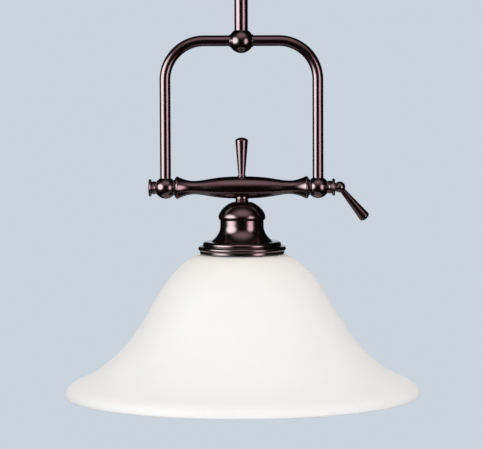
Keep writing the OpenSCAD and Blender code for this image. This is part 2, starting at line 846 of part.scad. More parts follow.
module lever_washer() color("silver")
    at_bar()
        difference() {
            rod_x(lever_washer_x, lever_washer_x + lever_washer_t, lever_washer_r);
            rod_x(lever_washer_x - eps, lever_washer_x + lever_washer_t + eps,
                  stud_r + seat_gap);
        }

module at_lever() {
    at_bar() translate([lever_ball_x, 0, 0]) rotate([0, 90 + lever_angle, 0]) children();
}

module clamp_ball() color("saddlebrown")
    difference() {
        at_bar()
            difference() {
                intersection() {
                    translate([lever_ball_x, 0, 0]) sphere(r = lever_ball_r);
                    rod_x(lever_ball_x - lever_ball_flat, far, 2 * lever_ball_r);
                }
                rod_x(0, stud_end_x + free_gap, stud_r + run_gap);
            }
        at_lever() {
            ring(lever_seat, far, lever_foot_r + seat_gap);
            ring(lever_ball_r / 2, far, spigot_r + seat_gap);
        }
    }

// A tapered handle as [radius, height], from its foot to its domed tip.
function handle_line(foot, start, tip, end) =
    concat(
        [[foot, start], [tip, end - tip_dome_h - 1]],
        curve([tip, end - tip_dome_h - 1], [tip, end - tip_dome_h + 0.2],
              [tip * 0.6, end], [0, end], 10)
    );

module clamp_lever() color("saddlebrown")
    at_lever() {
        rotate_extrude()
            polygon(concat(
                [[0, lever_seat]],
                handle_line(lever_foot_r, lever_seat, lever_tip_r, lever_len)
            ));
        ring(lever_ball_r / 2 + free_gap, lever_seat - lever_ball_r / 2 - free_gap + eps,
             spigot_r);
    }

module top_lever() color("saddlebrown")
    at_bar() {
        seat = bar_top_seat + side_gap;
        rotate_extrude()
            polygon(concat(
                [[0, seat], [top_foot_r, seat], [top_foot_r, seat + 0.8]],
                handle_line(top_waist_r, seat + 2.6, top_tip_r, top_lever_h)
            ));
        ring(drop_tube_top - 1.6, seat - drop_tube_top + 1.6 + eps, stud_r);
    }

// ---- Neck, dome cap and shade holder ---------------------------------------------------

module drop_tube() color("goldenrod")
    at_bar()
        difference() {
            ring(-drop_tube_end, drop_tube_end + drop_tube_top, thread_r);
            ring(-drop_tube_end - eps, drop_tube_end + lead_way_r, drop_bore_r);
            ring(drop_tube_top - 2, far, stud_r + run_gap);
            rod_x(-far, 0, lead_way_r);
        }

module neck_ring() color("saddlebrown")
    at_bar()
        rotate_extrude()
        polygon(concat(
            [[thread_r + seat_gap, -dome_top], [neck_r - 0.3, -dome_top]],
            arc([neck_r - 0.7, -dome_top + 1], 0.7, -40, 60, 5),
            [[neck_groove_r, -dome_top + 1.9]],
            arc([neck_r - 0.7, -dome_top + 2.9], 0.7, -60, 40, 5),
            [[neck_r - 0.3, -bar_low_seat - side_gap],
             [thread_r + seat_gap, -bar_low_seat - side_gap]]
        ));

// The dome cap's outer line, from the tube's hole to the foot of the lip.
function dome_line() =
    let (brim = [dome_r, -holder_top + dome_lip_h])
    let (foot = [holder_r + 0.4, -holder_top])
    concat(
        [[thread_r + seat_gap, -dome_top], [dome_flat_r, -dome_top]],
        curve([dome_flat_r, -dome_top], [dome_flat_r + 3, -dome_top - 0.3],
              brim + [-1.6, dome_h * 0.48], brim, 14),
        curve(brim, brim - [0, 1.6], foot + [1, 0.5], foot, 6)
    );

module dome_cap() color("saddlebrown")
    at_bar()
        rotate_extrude()
        polygon(concat(
            dome_line(),
            [[holder_r - dome_wall, -holder_top]],
            reverse(inner(dome_line(), dome_wall))
        ));

// The holder's outer line, from the tube's hole to the band over the glass.
function holder_line() =
    let (drum_end = [holder_r, -holder_top - holder_drum_h])
    let (flare_end = [holder_flare_r, -holder_top - holder_flare_h])
    let (band_top = -holder_end + band_h)
    let (base = [base_ring_r - base_ring_round, band_top + base_ring_round])
    concat(
        [[thread_r + seat_gap, -holder_top], [holder_r, -holder_top], drum_end],
        curve(drum_end, drum_end - [0, 8], flare_end + [-4.5, 4], flare_end, 14),
        arc([step_ring_r - step_ring_round, flare_end[1] - step_ring_round],
            step_ring_round, 90, -20, 8),
        arc(base, base_ring_round, 110, -70, 10),
        [[band_r, band_top], [band_r, -holder_end]]
    );

// The holder's inner line, from the glass back to the tube's hole.
function holder_inside() =
    let (drum_end = [holder_r - holder_wall, -holder_top - holder_drum_h])
    let (flare_end = [holder_flare_r - 1, -holder_top - holder_flare_h - holder_wall])
    concat(
        [[band_r - holder_wall, -holder_end], [band_r - holder_wall, -holder_end + 5]],
        [[step_ring_r - holder_wall - 1.4, flare_end[1] - step_ring_round + 1.2]],
        reverse(curve(drum_end, drum_end - [0, 8.6], flare_end + [-4.5, 3.4], flare_end, 10)),
        [drum_end, [holder_r - holder_wall, -holder_top - holder_wall],
         [thread_r + seat_gap, -holder_top - holder_wall]]
    );

module shade_holder() color("saddlebrown")
    at_bar() rotate_extrude() polygon(concat(holder_line(), holder_inside()));

module holder_nut() color("silver")
    at_bar()
        hex_nut(-holder_top - holder_wall - nut_h, nut_af, nut_h, thread_r + seat_gap);

// ---- Glass shade -----------------------------------------------------------------------

module glass_gasket() color("dimgray")
    at_bar() ring(-glass_top, gasket_t, band_r - 0.5, band_r - 0.5 - gasket_w);

// The glass shade's outer line, from its top hole to its rim.
function glass_line() =
    let (flat = [glass_flat_r, -glass_top])
    let (waist = [glass_waist_r, -glass_top - glass_waist_h])
    let (flare = [glass_flare_r, -glass_top - glass_flare_h])
    let (rim = [glass_rim_r, -glass_top - glass_h + glass_t / 2])
    concat(
        [[glass_hole_r, -glass_top], flat],
        curve(flat, flat + [5.5, 0], waist - 41.5 * down(glass_waist_slope), waist, 14),
        curve(waist, waist + 30 * down(glass_waist_slope),
              flare - 48 * down(glass_flare_slope), flare, 20),
        curve(flare, flare + 3 * down(glass_flare_slope), rim + [0, 8.5], rim, 9)
    );

module glass_shade() color("ivory")
    at_bar()
        rotate_extrude()
        polygon(concat(
            glass_line(),
            arc([glass_rim_r - glass_t / 2, -glass_top - glass_h + glass_t / 2],
                glass_t / 2, -15, -165, 6),
            reverse(inner(glass_line(), glass_t))
        ));

module fibre_washer() color("tan")
    at_bar()
        ring(-glass_top - glass_t - fibre_t, fibre_t, shade_ring_r, socket_r + seat_gap);

module shade_ring() color("dimgray")
    at_bar()
        difference() {
            top = -glass_top - glass_t - fibre_t;
            ring(top - shade_ring_h, shade_ring_h, shade_ring_r, socket_r + seat_gap);
            for (a = [0 : 45 : 315])
                rotate([0, 0, a])
                    translate([shade_ring_r + 0.6, 0, 0])
                    ring(top - shade_ring_h - eps, shade_ring_h + 2 * eps, 1.4);
        }

// ---- Lamp socket -----------------------------------------------------------------------

module socket_body() color("darkslategray")
    at_bar()
        difference() {
            union() {
                ring(-socket_end, socket_len - 1.5, socket_r);
                translate([0, 0, -socket_top - 1.5 - eps])
                    cylinder(h = 1.5 + eps, r1 = socket_r, r2 = socket_r - 1.5);
            }
            ring(-drop_tube_end, far, thread_r + seat_gap);
            ring(-chamber_end, chamber_h + eps, chamber_r);
            ring(-far, far, post_r + seat_gap);
            ring(-socket_end - eps, socket_end - shell_top + eps, shell_r + shell_t + seat_gap);
        }

module screw_shell() color("gold")
    at_bar()
        ring(-socket_end + shell_back, socket_end - shell_back - shell_top,
             shell_r + shell_t, shell_r);

module socket_contact() color("gold")
    at_bar() {
        ring(-contact_end, contact_t, contact_r);
        ring(-shell_top - eps, chamber_floor_t + post_h + eps, post_r);
    }

// From the left ball through the crossbar, down the drop tube to the socket's contact.
module crossbar_lead() color("white")
    at_bar() {
        end = chamber_end - post_h;
        rod_x(lead_ball_bend_r - yoke_half + side_gap, -lead_bend_r, lead_r);
        bend(-lead_bend_r, -lead_bend_r, lead_bend_r, lead_r, 0);
        ring(-end, end - lead_bend_r, lead_r);
    }

// ---- Bulb ------------------------------------------------------------------------------

// The bulb's outer line, from its metal base to its lowest point.
function bulb_line() =
    let (neck = [bulb_neck_r, -bulb_base_end])
    let (belly = [bulb_r, -bulb_end + bulb_r])
    concat(
        [neck],
        curve(neck, neck - [0, 16], belly + [0, 20], belly, 12),
        [for (a = [-10 : -10 : -90]) [bulb_r * cos(a), belly[1] + bulb_r * sin(a)]]
    );

module bulb_glass() color("white")
    at_bar()
        rotate_extrude()
        polygon(concat(bulb_line(), reverse(inner(bulb_line(), bulb_wall))));

module bulb_base() color("silver")
    at_bar()
        difference() {
            ring(-bulb_base_end, bulb_base_h, bulb_base_r);
            ring(-bulb_base_end - eps, bulb_base_h - base_wall + eps, bulb_base_r - base_wall);
        }

module bulb_insulator() color("black")
    at_bar()
        translate([0, 0, -bulb_base_top])
        cylinder(h = insulator_h, r1 = bulb_base_r - 1.5, r2 = tip_r + 0.4);

module bulb_contact() color("silver")
    at_bar() ring(-contact_end - tip_t, tip_t, tip_r);

// ---- Assembly --------------------------------------------------------------------------

mounting_strap();
canopy_tube();
strap_nut();
earth_screw();
canopy();
canopy_nut();
swivel_nut();
canopy_lead();
swivel_ball();
stem_tongue();
swivel_screws();
stem();
yoke_hub();
left_arm();
right_arm();
left_ball();
right_ball();
yoke_lead();
crossbar();
left_pivot();
right_pivot();
left_washer();
right_washer();
left_finial();
right_finial();
lever_washer();
clamp_ball();
clamp_lever();
top_lever();
drop_tube();
neck_ring();
dome_cap();
shade_holder();
holder_nut();
glass_gasket();
glass_shade();
fibre_washer();
shade_ring();
socket_body();
screw_shell();
socket_contact();
crossbar_lead();
bulb_glass();
bulb_base();
bulb_insulator();
bulb_contact();
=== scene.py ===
"""Looks of a pendant ceiling light: a lacquered bronze yoke and a tilting bell of opal glass.

Sizes are in millimetres, as a lamp maker writes them, and MM turns them to Blender's metres. Heights
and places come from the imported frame, so that each piece lies where its solid lies.
"""

import json
import logging
import math
from dataclasses import dataclass, field
from enum import Enum

import bpy
from mathutils import Matrix, Vector


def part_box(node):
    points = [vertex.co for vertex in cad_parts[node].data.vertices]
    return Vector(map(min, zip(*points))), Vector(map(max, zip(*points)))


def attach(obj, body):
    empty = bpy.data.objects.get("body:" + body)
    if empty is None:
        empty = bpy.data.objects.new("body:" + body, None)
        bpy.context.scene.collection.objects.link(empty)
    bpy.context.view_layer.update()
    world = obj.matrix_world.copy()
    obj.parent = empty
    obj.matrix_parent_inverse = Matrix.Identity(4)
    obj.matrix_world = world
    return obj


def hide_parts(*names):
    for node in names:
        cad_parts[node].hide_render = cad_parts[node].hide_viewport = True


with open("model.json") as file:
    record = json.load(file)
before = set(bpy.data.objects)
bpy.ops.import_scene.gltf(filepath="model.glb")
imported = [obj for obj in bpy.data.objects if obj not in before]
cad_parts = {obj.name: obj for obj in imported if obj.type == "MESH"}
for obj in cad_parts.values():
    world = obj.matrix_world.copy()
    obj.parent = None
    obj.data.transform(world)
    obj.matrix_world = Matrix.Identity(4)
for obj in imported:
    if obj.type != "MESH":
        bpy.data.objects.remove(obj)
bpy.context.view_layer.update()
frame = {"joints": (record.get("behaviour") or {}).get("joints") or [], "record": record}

log = logging.getLogger("pendant")

MM = 0.001
TAU = 2 * math.pi
WELD = 2e-6  # metres under which two corners of a mesh are one
NOISE = (0.3, 0.7)  # the values of a noise texture lie between these, but for a few
MIX_A, MIX_B, MIX_OUT = 6, 7, 2  # a Mix node's sockets for colours
Pair = tuple[float, float]
Triple = tuple[float, float, float]
Tree = bpy.types.NodeTree
Link = bpy.types.NodeSocket


class Axis(Enum):
    """The axis that a turned piece is centred on, with the turn that takes it there from Z."""

    X = Matrix.Rotation(math.radians(90), 4, "Y")
    MINUS_X = Matrix.Rotation(math.radians(-90), 4, "Y")
    Z = Matrix.Identity(4)


class Side(Enum):
    """The two sides of the yoke, with the sign of their X and the axis that points outwards."""

    LEFT = ("left", -1, Axis.MINUS_X)
    RIGHT = ("right", 1, Axis.X)

    @property
    def word(self) -> str:
        """The word that begins the side's node names."""
        return self.value[0]

    @property
    def sign(self) -> int:
        """The sign of X on this side."""
        return self.value[1]

    @property
    def outwards(self) -> Axis:
        """The axis that points away from the middle."""
        return self.value[2]


# ---- Outlines ----------------------------------------------------------------------------


class Outline:
    """A line of (radius, height) points that the lathe turns into a piece, in millimetres."""

    tiny = 1e-6  # a length that counts as none

    def __init__(self, *points: Pair) -> None:
        """Starts the line.

        Args:
            points: The first point, or the first few.
        """
        self.points = [Vector(p) for p in points]

    def line(self, *points: Pair) -> "Outline":
        """Goes on straight through more points.

        Args:
            points: The points, each as (radius, height).

        Returns:
            The outline itself.
        """
        self.points += [Vector(p) for p in points]
        return self

    def curve(self, out: Pair, back: Pair, end: Pair, steps: int = 16) -> "Outline":
        """Goes on along a cubic curve.

        Args:
            out: The handle that the curve leaves towards.
            back: The handle that it arrives from.
            end: Its last point.
            steps: How many points it gets.

        Returns:
            The outline itself.
        """
        a, b, c, d = self.points[-1], Vector(out), Vector(back), Vector(end)
        for i in range(1, steps + 1):
            t = i / steps
            u = 1 - t
            self.points.append(u**3 * a + 3 * u * u * t * b + 3 * u * t * t * c + t**3 * d)
        return self

    def arc(self, centre: Pair, radius: float, start: float, end: float, steps: int = 10) -> "Outline":
        """Goes on along an arc.

        Args:
            centre: The arc's centre.
            radius: The arc's radius.
            start: Where it begins, in degrees from the outward direction.
            end: Where it ends, in degrees.
            steps: How many pieces it has.

        Returns:
            The outline itself.
        """
        for i in range(steps + 1):
            a = math.radians(start + (end - start) * i / steps)
            self.points.append(Vector(centre) + radius * Vector((math.cos(a), math.sin(a))))
        return self

    def wall(self, thickness: float, *bridge: Pair) -> "Outline":
        """Doubles the line back at a wall's thickness, on its right as it runs outwards and down.

        Args:
            thickness: The wall's thickness.
            bridge: Points between the end of one face and the end of the other.

        Returns:
            A closed outline of the whole wall.
        """
        pts = self.points
        inner = []
        for i, p in enumerate(pts):
            step = pts[min(i + 1, len(pts) - 1)] - pts[max(i - 1, 0)]
            off = Vector((-step.y, step.x)).normalized() * thickness
            inner.append(Vector((max(p.x - off.x, 0), p.y - off.y)))
        return Outline(*pts, *bridge, *reversed(inner))

    def mirrored(self) -> "Outline":
        """The outline with its mirror image below height 0 put before it.

        Returns:
            A line that runs from the lowest point to the highest.
        """
        low = [Vector((p.x, -p.y)) for p in reversed(self.points) if p.y > self.tiny]
        return Outline(*low, *self.points)

    def eased(self, ease: float, sharp: float = 28, most: float = 0.45,
              shortest: float = 1e-4) -> list[Vector]:
        """Rounds off the corners, as a file and a polishing wheel do.

        Args:
            ease: The radius given to a corner, where its two sides are long enough.
            sharp: The turn, in degrees, from which a corner is rounded.
            most: The share of a side that one corner may take.
            shortest: The length under which a side is left out.

        Returns:
            The points of the rounded line.
        """
        pts = [p for i, p in enumerate(self.points) if i == 0 or (p - self.points[i - 1]).length > shortest]
        closed = self.is_ring()
        made = []
        for i, p in enumerate(pts):
            if not closed and i in (0, len(pts) - 1):
                made.append(p)
                continue
            a, b = pts[i - 1] - p, pts[(i + 1) % len(pts)] - p
            turn = math.pi - a.angle(b)
            if turn < math.radians(sharp):
                made.append(p)
                continue
            reach = min(ease * math.tan(turn / 2), most * a.length, most * b.length)
            start, end = p + a.normalized() * reach, p + b.normalized() * reach
            made += [start, start.lerp(p, 0.5).lerp(p.lerp(end, 0.5), 0.5), end]
        return made

    def is_ring(self) -> bool:
        """Whether the outline is a wall's whole section, which never meets the axis."""
        return min(self.points[0].x, self.points[-1].x) > self.tiny


# ---- Shaping -----------------------------------------------------------------------------


def alone(obj: bpy.types.Object) -> None:
    """Makes an object the only selected and the active one.

    Args:
        obj: The object.
    """
    bpy.ops.object.select_all(action="DESELECT")
    obj.select_set(True)
    bpy.context.view_layer.objects.active = obj


class Workpiece:
    """A piece on the bench: one mesh, shaped with Blender's own operators, sizes in millimetres."""

    def __init__(self, name: str, obj: bpy.types.Object) -> None:
        """Takes a fresh primitive and puts its place into its mesh.

        Args:
            name: The piece's name.
            obj: The object that the primitive made.
        """
        self.obj = obj
        obj.name = obj.data.name = name
        alone(obj)
        bpy.ops.object.transform_apply(location=True, rotation=True, scale=True)

    @classmethod
    def wire(cls, name: str, points: list[Vector]) -> "Workpiece":
        """A point extruded along a line in the XZ plane; its mesh stays open for editing.

        Args:
            name: The piece's name.
            points: The line's points, each as (x, z).

        Returns:
            The wire.
        """
        bpy.ops.object.select_all(action="DESELECT")
        bpy.ops.mesh.primitive_plane_add(size=MM)
        piece = cls(name, bpy.context.object).open()
        bpy.ops.mesh.merge(type="CENTER")
        bpy.ops.transform.translate(value=(points[0].x * MM, 0, points[0].y * MM))
        for here, there in zip(points, points[1:]):
            step = (there - here) * MM
            bpy.ops.mesh.extrude_region_move(TRANSFORM_OT_translate={"value": (step.x, 0, step.y)})
        return piece

    @classmethod
    def turned(cls, name: str, outline: Outline, axis: Axis = Axis.Z, at: Triple = (0, 0, 0),
               ease: float = 0.25, steps: int = 128) -> "Workpiece":
        """Turns a piece on the lathe: a wire along the outline is spun.

        Args:
            name: The piece's name.
            outline: Its outline.
            axis: The axis that its heights run along.
            at: Where height 0 on the axis lies.
            ease: The radius of its corners.
            steps: How many sides the round has.

        Returns:
            The piece.
        """
        points = outline.eased(ease)
        piece = cls.wire(name, points + points[:1] * outline.is_ring()).weld()
        bpy.ops.mesh.spin(steps=steps, angle=TAU, center=(0, 0, 0), axis=(0, 0, 1))
        piece.close()
        return piece.turn(axis).move(at)

    @classmethod
    def rod(cls, name: str, radius: float, start: float, end: float, axis: Axis = Axis.Z,
            at: Triple = (0, 0, 0), sides: int = 96) -> "Workpiece":
        """A plain round bar, mostly the drill or the cutter for another piece.

        Args:
            name: The piece's name.
            radius: Its radius.
            start: Where it begins on its axis.
            end: Where it ends.
            axis: The axis.
            at: Where height 0 on the axis lies.
            sides: How many sides the round has.

        Returns:
            The piece.
        """
        bpy.ops.object.select_all(action="DESELECT")
        bpy.ops.mesh.primitive_cylinder_add(
            vertices=sides, radius=radius * MM, depth=(end - start) * MM,
            location=(0, 0, (start + end) / 2 * MM))
        return cls(name, bpy.context.object).turn(axis).move(at)

    @classmethod
    def block(cls, name: str, size: Triple, at: Triple) -> "Workpiece":
        """A plain block.

        Args:
            name: The piece's name.
            size: Its length along each axis.
            at: Its middle.

        Returns:
            The piece.
        """
        bpy.ops.object.select_all(action="DESELECT")
        bpy.ops.mesh.primitive_cube_add(size=1, location=Vector(at) * MM)
        bpy.context.object.scale = Vector(size) * MM
        return cls(name, bpy.context.object)

    @classmethod
    def knurled(cls, name: str, radius: float, depth: float, teeth: int, start: float,
                end: float) -> "Workpiece":
        """A straight-knurled disc: every second corner of a many-sided bar is drawn in.

        Args:
            name: The piece's name.
            radius: Its outer radius.
            depth: The grooves' depth.
            teeth: How many ridges it has.
            start: Where it begins on Z.
            end: Where it ends.

        Returns:
            The piece.
        """
        bpy.ops.object.select_all(action="DESELECT")
        bpy.ops.mesh.primitive_circle_add(vertices=2 * teeth, radius=radius * MM, fill_type="NOTHING",
                                          location=(0, 0, start * MM))
        piece = cls(name, bpy.context.object)
        for i, vertex in enumerate(piece.obj.data.vertices):
            vertex.select = i % 2 == 0
        for edge in piece.obj.data.edges:
            edge.select = False
        bpy.ops.object.mode_set(mode="EDIT")
        bpy.ops.transform.resize(value=(1 - depth / radius,) * 2 + (1,), center_override=(0, 0, start * MM))
        bpy.ops.mesh.select_all(action="SELECT")
        bpy.ops.mesh.edge_face_add()
        bpy.ops.mesh.extrude_region_move(TRANSFORM_OT_translate={"value": (0, 0, (end - start) * MM)})
        return piece.close()

    @classmethod
    def threaded(cls, name: str, radius: float, start: float, end: float, pitch: float, depth: float,
                 axis: Axis = Axis.Z, at: Triple = (0, 0, 0), rounded: bool = False) -> "Workpiece":
        """A threaded bar: one tooth is wound up its axis and both ends are sawn off.

        Args:
            name: The piece's name.
            radius: The thread's outer radius.
            start: Where it begins on its axis.
            end: Where it ends.
            pitch: The distance from one turn to the next.
            depth: The thread's depth.
            axis: The axis.
            at: Where height 0 on the axis lies.
            rounded: Whether it is a rolled thread with round crests, as on a lamp base.

        Returns:
            The piece.
        """
        facets, steps = 12, 48
        if rounded:
            tooth = [(0.5 - 0.5 * math.cos(TAU * i / facets), i / facets) for i in range(facets + 1)]
        else:
            tooth = [(0, 0), (1, 0.38), (1, 0.5), (0, 0.88), (0, 1)]
        # It begins a turn early and a hair off the pitch, so that no corner lies in a saw cut.
        first = pitch * (math.floor(start / pitch - 1) + 0.0137)
        turns = math.ceil((end - first) / pitch) + 2
        low = radius - depth
        piece = cls.wire(name, [Vector((low + depth * out, first + pitch * up)) for out, up in tooth])
        bpy.ops.object.mode_set(mode="OBJECT")
        piece.modify("SCREW", steps=steps, render_steps=steps, screw_offset=pitch * MM, iterations=turns)
        piece.open().close().open()
        for height, normal in ((start, -1), (end, 1)):
            bpy.ops.mesh.select_all(action="SELECT")
            bpy.ops.mesh.bisect(plane_co=(0, 0, height * MM), plane_no=(0, 0, normal), use_fill=True,
                                clear_outer=True, threshold=1e-7)
        piece.close()
        return piece.turn(axis).move(at)

    def open(self) -> "Workpiece":
        """Opens the mesh for editing, with all of it selected.

        Returns:
            The piece itself.
        """
        alone(self.obj)
        bpy.ops.object.mode_set(mode="EDIT")
        bpy.ops.mesh.select_all(action="SELECT")
        return self

    def weld(self) -> "Workpiece":
        """Merges the open mesh's doubles and selects all of it.

        Returns:
            The piece itself.
        """
        bpy.ops.mesh.select_all(action="SELECT")
        bpy.ops.mesh.remove_doubles(threshold=WELD)
        bpy.ops.mesh.select_all(action="SELECT")
        return self

    def close(self) -> "Workpiece":
        """Closes the mesh with its doubles merged and its normals pointing outwards.

        Returns:
            The piece itself.
        """
        self.weld()
        bpy.ops.mesh.normals_make_consistent(inside=False)
        bpy.ops.object.mode_set(mode="OBJECT")
        return self

    def turn(self, axis: Axis) -> "Workpiece":
        """Turns the mesh from Z to another axis."""
        self.obj.data.transform(axis.value)
        return self

    def tilt(self, degrees: float, about: str) -> "Workpiece":
        """Turns the mesh about one of the frame's axes through the origin."""
        self.obj.data.transform(Matrix.Rotation(math.radians(degrees), 4, about))
        return self

    def move(self, by: Triple) -> "Workpiece":
        """Moves the mesh, in millimetres."""
        self.obj.data.transform(Matrix.Translation(Vector(by) * MM))
        return self

    def copy(self, name: str, degrees: float) -> "Workpiece":
        """A second piece with a mesh of its own, turned about the frame's Z.

        Args:
            name: The copy's name.
            degrees: How far it is turned.

        Returns:
            The copy.
        """
        twin = self.obj.copy()
        twin.data = self.obj.data.copy()
        bpy.context.scene.collection.objects.link(twin)
        return Workpiece(name, twin).tilt(degrees, "Z")

    def modify(self, kind: str, **settings: object) -> "Workpiece":
        """Adds a modifier and applies it.

        Args:
            kind: The modifier's type.
            settings: Its settings.

        Returns:
            The piece itself.
        """
        alone(self.obj)
        modifier = self.obj.modifiers.new(kind.lower(), kind)
        for key, value in settings.items():
            setattr(modifier, key, value)
        bpy.ops.object.modifier_apply(modifier=modifier.name)
        return self

    def combine(self, operation: str, *tools: "Workpiece") -> "Workpiece":
        """Cuts tools out of the piece, or adds or intersects them, and clears them away.

        Args:
            operation: DIFFERENCE, UNION or INTERSECT.
            tools: The other pieces.

        Returns:
            The piece itself.
        """
        for tool in tools:
            self.modify("BOOLEAN", operation=operation, object=tool.obj, solver="EXACT")
            bpy.data.objects.remove(tool.obj)
        return self

    def cut(self, *tools: "Workpiece") -> "Workpiece":
        """Cuts tools out of the piece."""
        return self.combine("DIFFERENCE", *tools)

    def add(self, *tools: "Workpiece") -> "Workpiece":
        """Adds other pieces to this one."""
        return self.combine("UNION", *tools)

    def keep(self, *tools: "Workpiece") -> "Workpiece":
        """Keeps only what lies inside the tools."""
        return self.combine("INTERSECT", *tools)

    def bevel(self, width: float, segments: int = 2, sharp: float = 30) -> "Workpiece":
        """Rounds the sharp edges, as deburring does.

        Args:
            width: The bevel's width.
            segments: How many faces it has across.
            sharp: The angle from which an edge is bevelled.

        Returns:
            The piece itself.
        """
        return self.modify("BEVEL", width=width * MM, segments=segments, limit_method="ANGLE",
                           angle_limit=math.radians(sharp), use_clamp_overlap=True)

    def clean(self) -> "Workpiece":
        """Drops the edges and faces of no size that cuts and bevels leave.

        Returns:
            The piece itself.
        """
        self.open()
        bpy.ops.mesh.dissolve_degenerate(threshold=WELD)
        self.weld()
        bpy.ops.object.mode_set(mode="OBJECT")
        return self

    def smooth(self, sharp: float = 34) -> "Workpiece":
        """Shades the mesh smooth, except across edges sharper than an angle in degrees.

        The large faces set the normals where they meet small ones, so that a long tube mirrors straight.

        Args:
            sharp: The angle.

        Returns:
            The piece itself.
        """
        alone(self.obj)
        bpy.ops.object.shade_smooth_by_angle(angle=math.radians(sharp))
        return self.modify("WEIGHTED_NORMAL", keep_sharp=True)


class PipeRun:
    """A pipe that is extruded straight and spun round its bends, in the XZ plane."""

    def __init__(self, name: str, radius: float, at: Pair, heading: Pair, sides: int = 64) -> None:
        """Starts the pipe with a ring.

        Args:
            name: The piece's name.
            radius: The pipe's outer radius.
            at: Where its middle line begins, as (x, z).
            heading: The direction that it leaves in, as (x, z).
            sides: How many sides the ring has.
        """
        self.at = Vector((at[0], 0, at[1]))
        self.heading = Vector((heading[0], 0, heading[1])).normalized()
        bpy.ops.object.select_all(action="DESELECT")
        bpy.ops.mesh.primitive_circle_add(
            vertices=sides, radius=radius * MM, fill_type="NOTHING", location=self.at * MM,
            rotation=self.heading.to_track_quat("Z", "Y").to_euler())
        self.piece = Workpiece(name, bpy.context.object).open()

    def straight(self, length: float, rings: int = 1) -> "PipeRun":
        """Goes on straight.

        Args:
            length: How far.
            rings: In how many steps.

        Returns:
            The run itself.
        """
        step = self.heading * (length / rings)
        for _ in range(rings):
            bpy.ops.mesh.extrude_region_move(TRANSFORM_OT_translate={"value": step * MM})
        self.at += self.heading * length
        return self

    def bend(self, radius: float, degrees: float, steps: int = 40) -> "PipeRun":
        """Goes round a bend.

        Args:
            radius: The bend's radius, at the middle of the pipe.
            degrees: How far it turns, positive from +Z towards +X.
            steps: How many rings the bend gets.

        Returns:
            The run itself.
        """
        turn = Matrix.Rotation(math.radians(degrees), 3, "Y")
        side = Matrix.Rotation(math.radians(math.copysign(90, degrees)), 3, "Y") @ self.heading
        centre = self.at + side * radius
        bpy.ops.mesh.spin(steps=steps, angle=math.radians(-degrees), center=centre * MM, axis=(0, 1, 0))
        self.at = centre + turn @ (self.at - centre)
        self.heading = turn @ self.heading
        return self

    def done(self, wall: float = 0) -> Workpiece:
        """Ends the pipe.

        Args:
            wall: The pipe's wall, or 0 for a solid one.

        Returns:
            The piece.
        """
        if not wall:
            bpy.ops.mesh.select_all(action="DESELECT")
            bpy.ops.mesh.select_non_manifold()
            bpy.ops.mesh.edge_face_add()
        self.piece.close()
        if wall:
            self.piece.modify("SOLIDIFY", thickness=wall * MM, offset=-1, use_rim=True)
            self.piece.bevel(0.25, sharp=60)
        return self.piece


# ---- Finishes ----------------------------------------------------------------------------


def colour(code: str) -> tuple[float, float, float, float]:
    """Turns an sRGB hex colour to the linear values that Blender's sockets take.

    Args:
        code: Six hex digits.

    Returns:
        Red, green, blue and a full alpha.
    """
    parts = [int(code[i:i + 2], 16) / 255 for i in (0, 2, 4)]
    return (*[p / 12.92 if p <= 0.04045 else ((p + 0.055) / 1.055) ** 2.4 for p in parts], 1)


def add_node(tree: Tree, kind: str, inputs: dict | None = None, **settings: object) -> bpy.types.Node:
    """Adds a node.

    Args:
        tree: The node tree.
        kind: The node's type, without its Shader Node prefix.
        inputs: A value or another node's output for each named or numbered socket.
        settings: The node's own settings.

    Returns:
        The node.
    """
    made = tree.nodes.new("ShaderNode" + kind)
    for key, value in settings.items():
        setattr(made, key, value)
    for key, value in (inputs or {}).items():
        if isinstance(value, bpy.types.NodeSocket):
            tree.links.new(value, made.inputs[key])
        else:
            made.inputs[key].default_value = value
    return made


def per_mm(size: float) -> float:
    """The scale of a noise whose grains are about a size in millimetres, on metre coordinates."""
    return 1 / (size * MM)


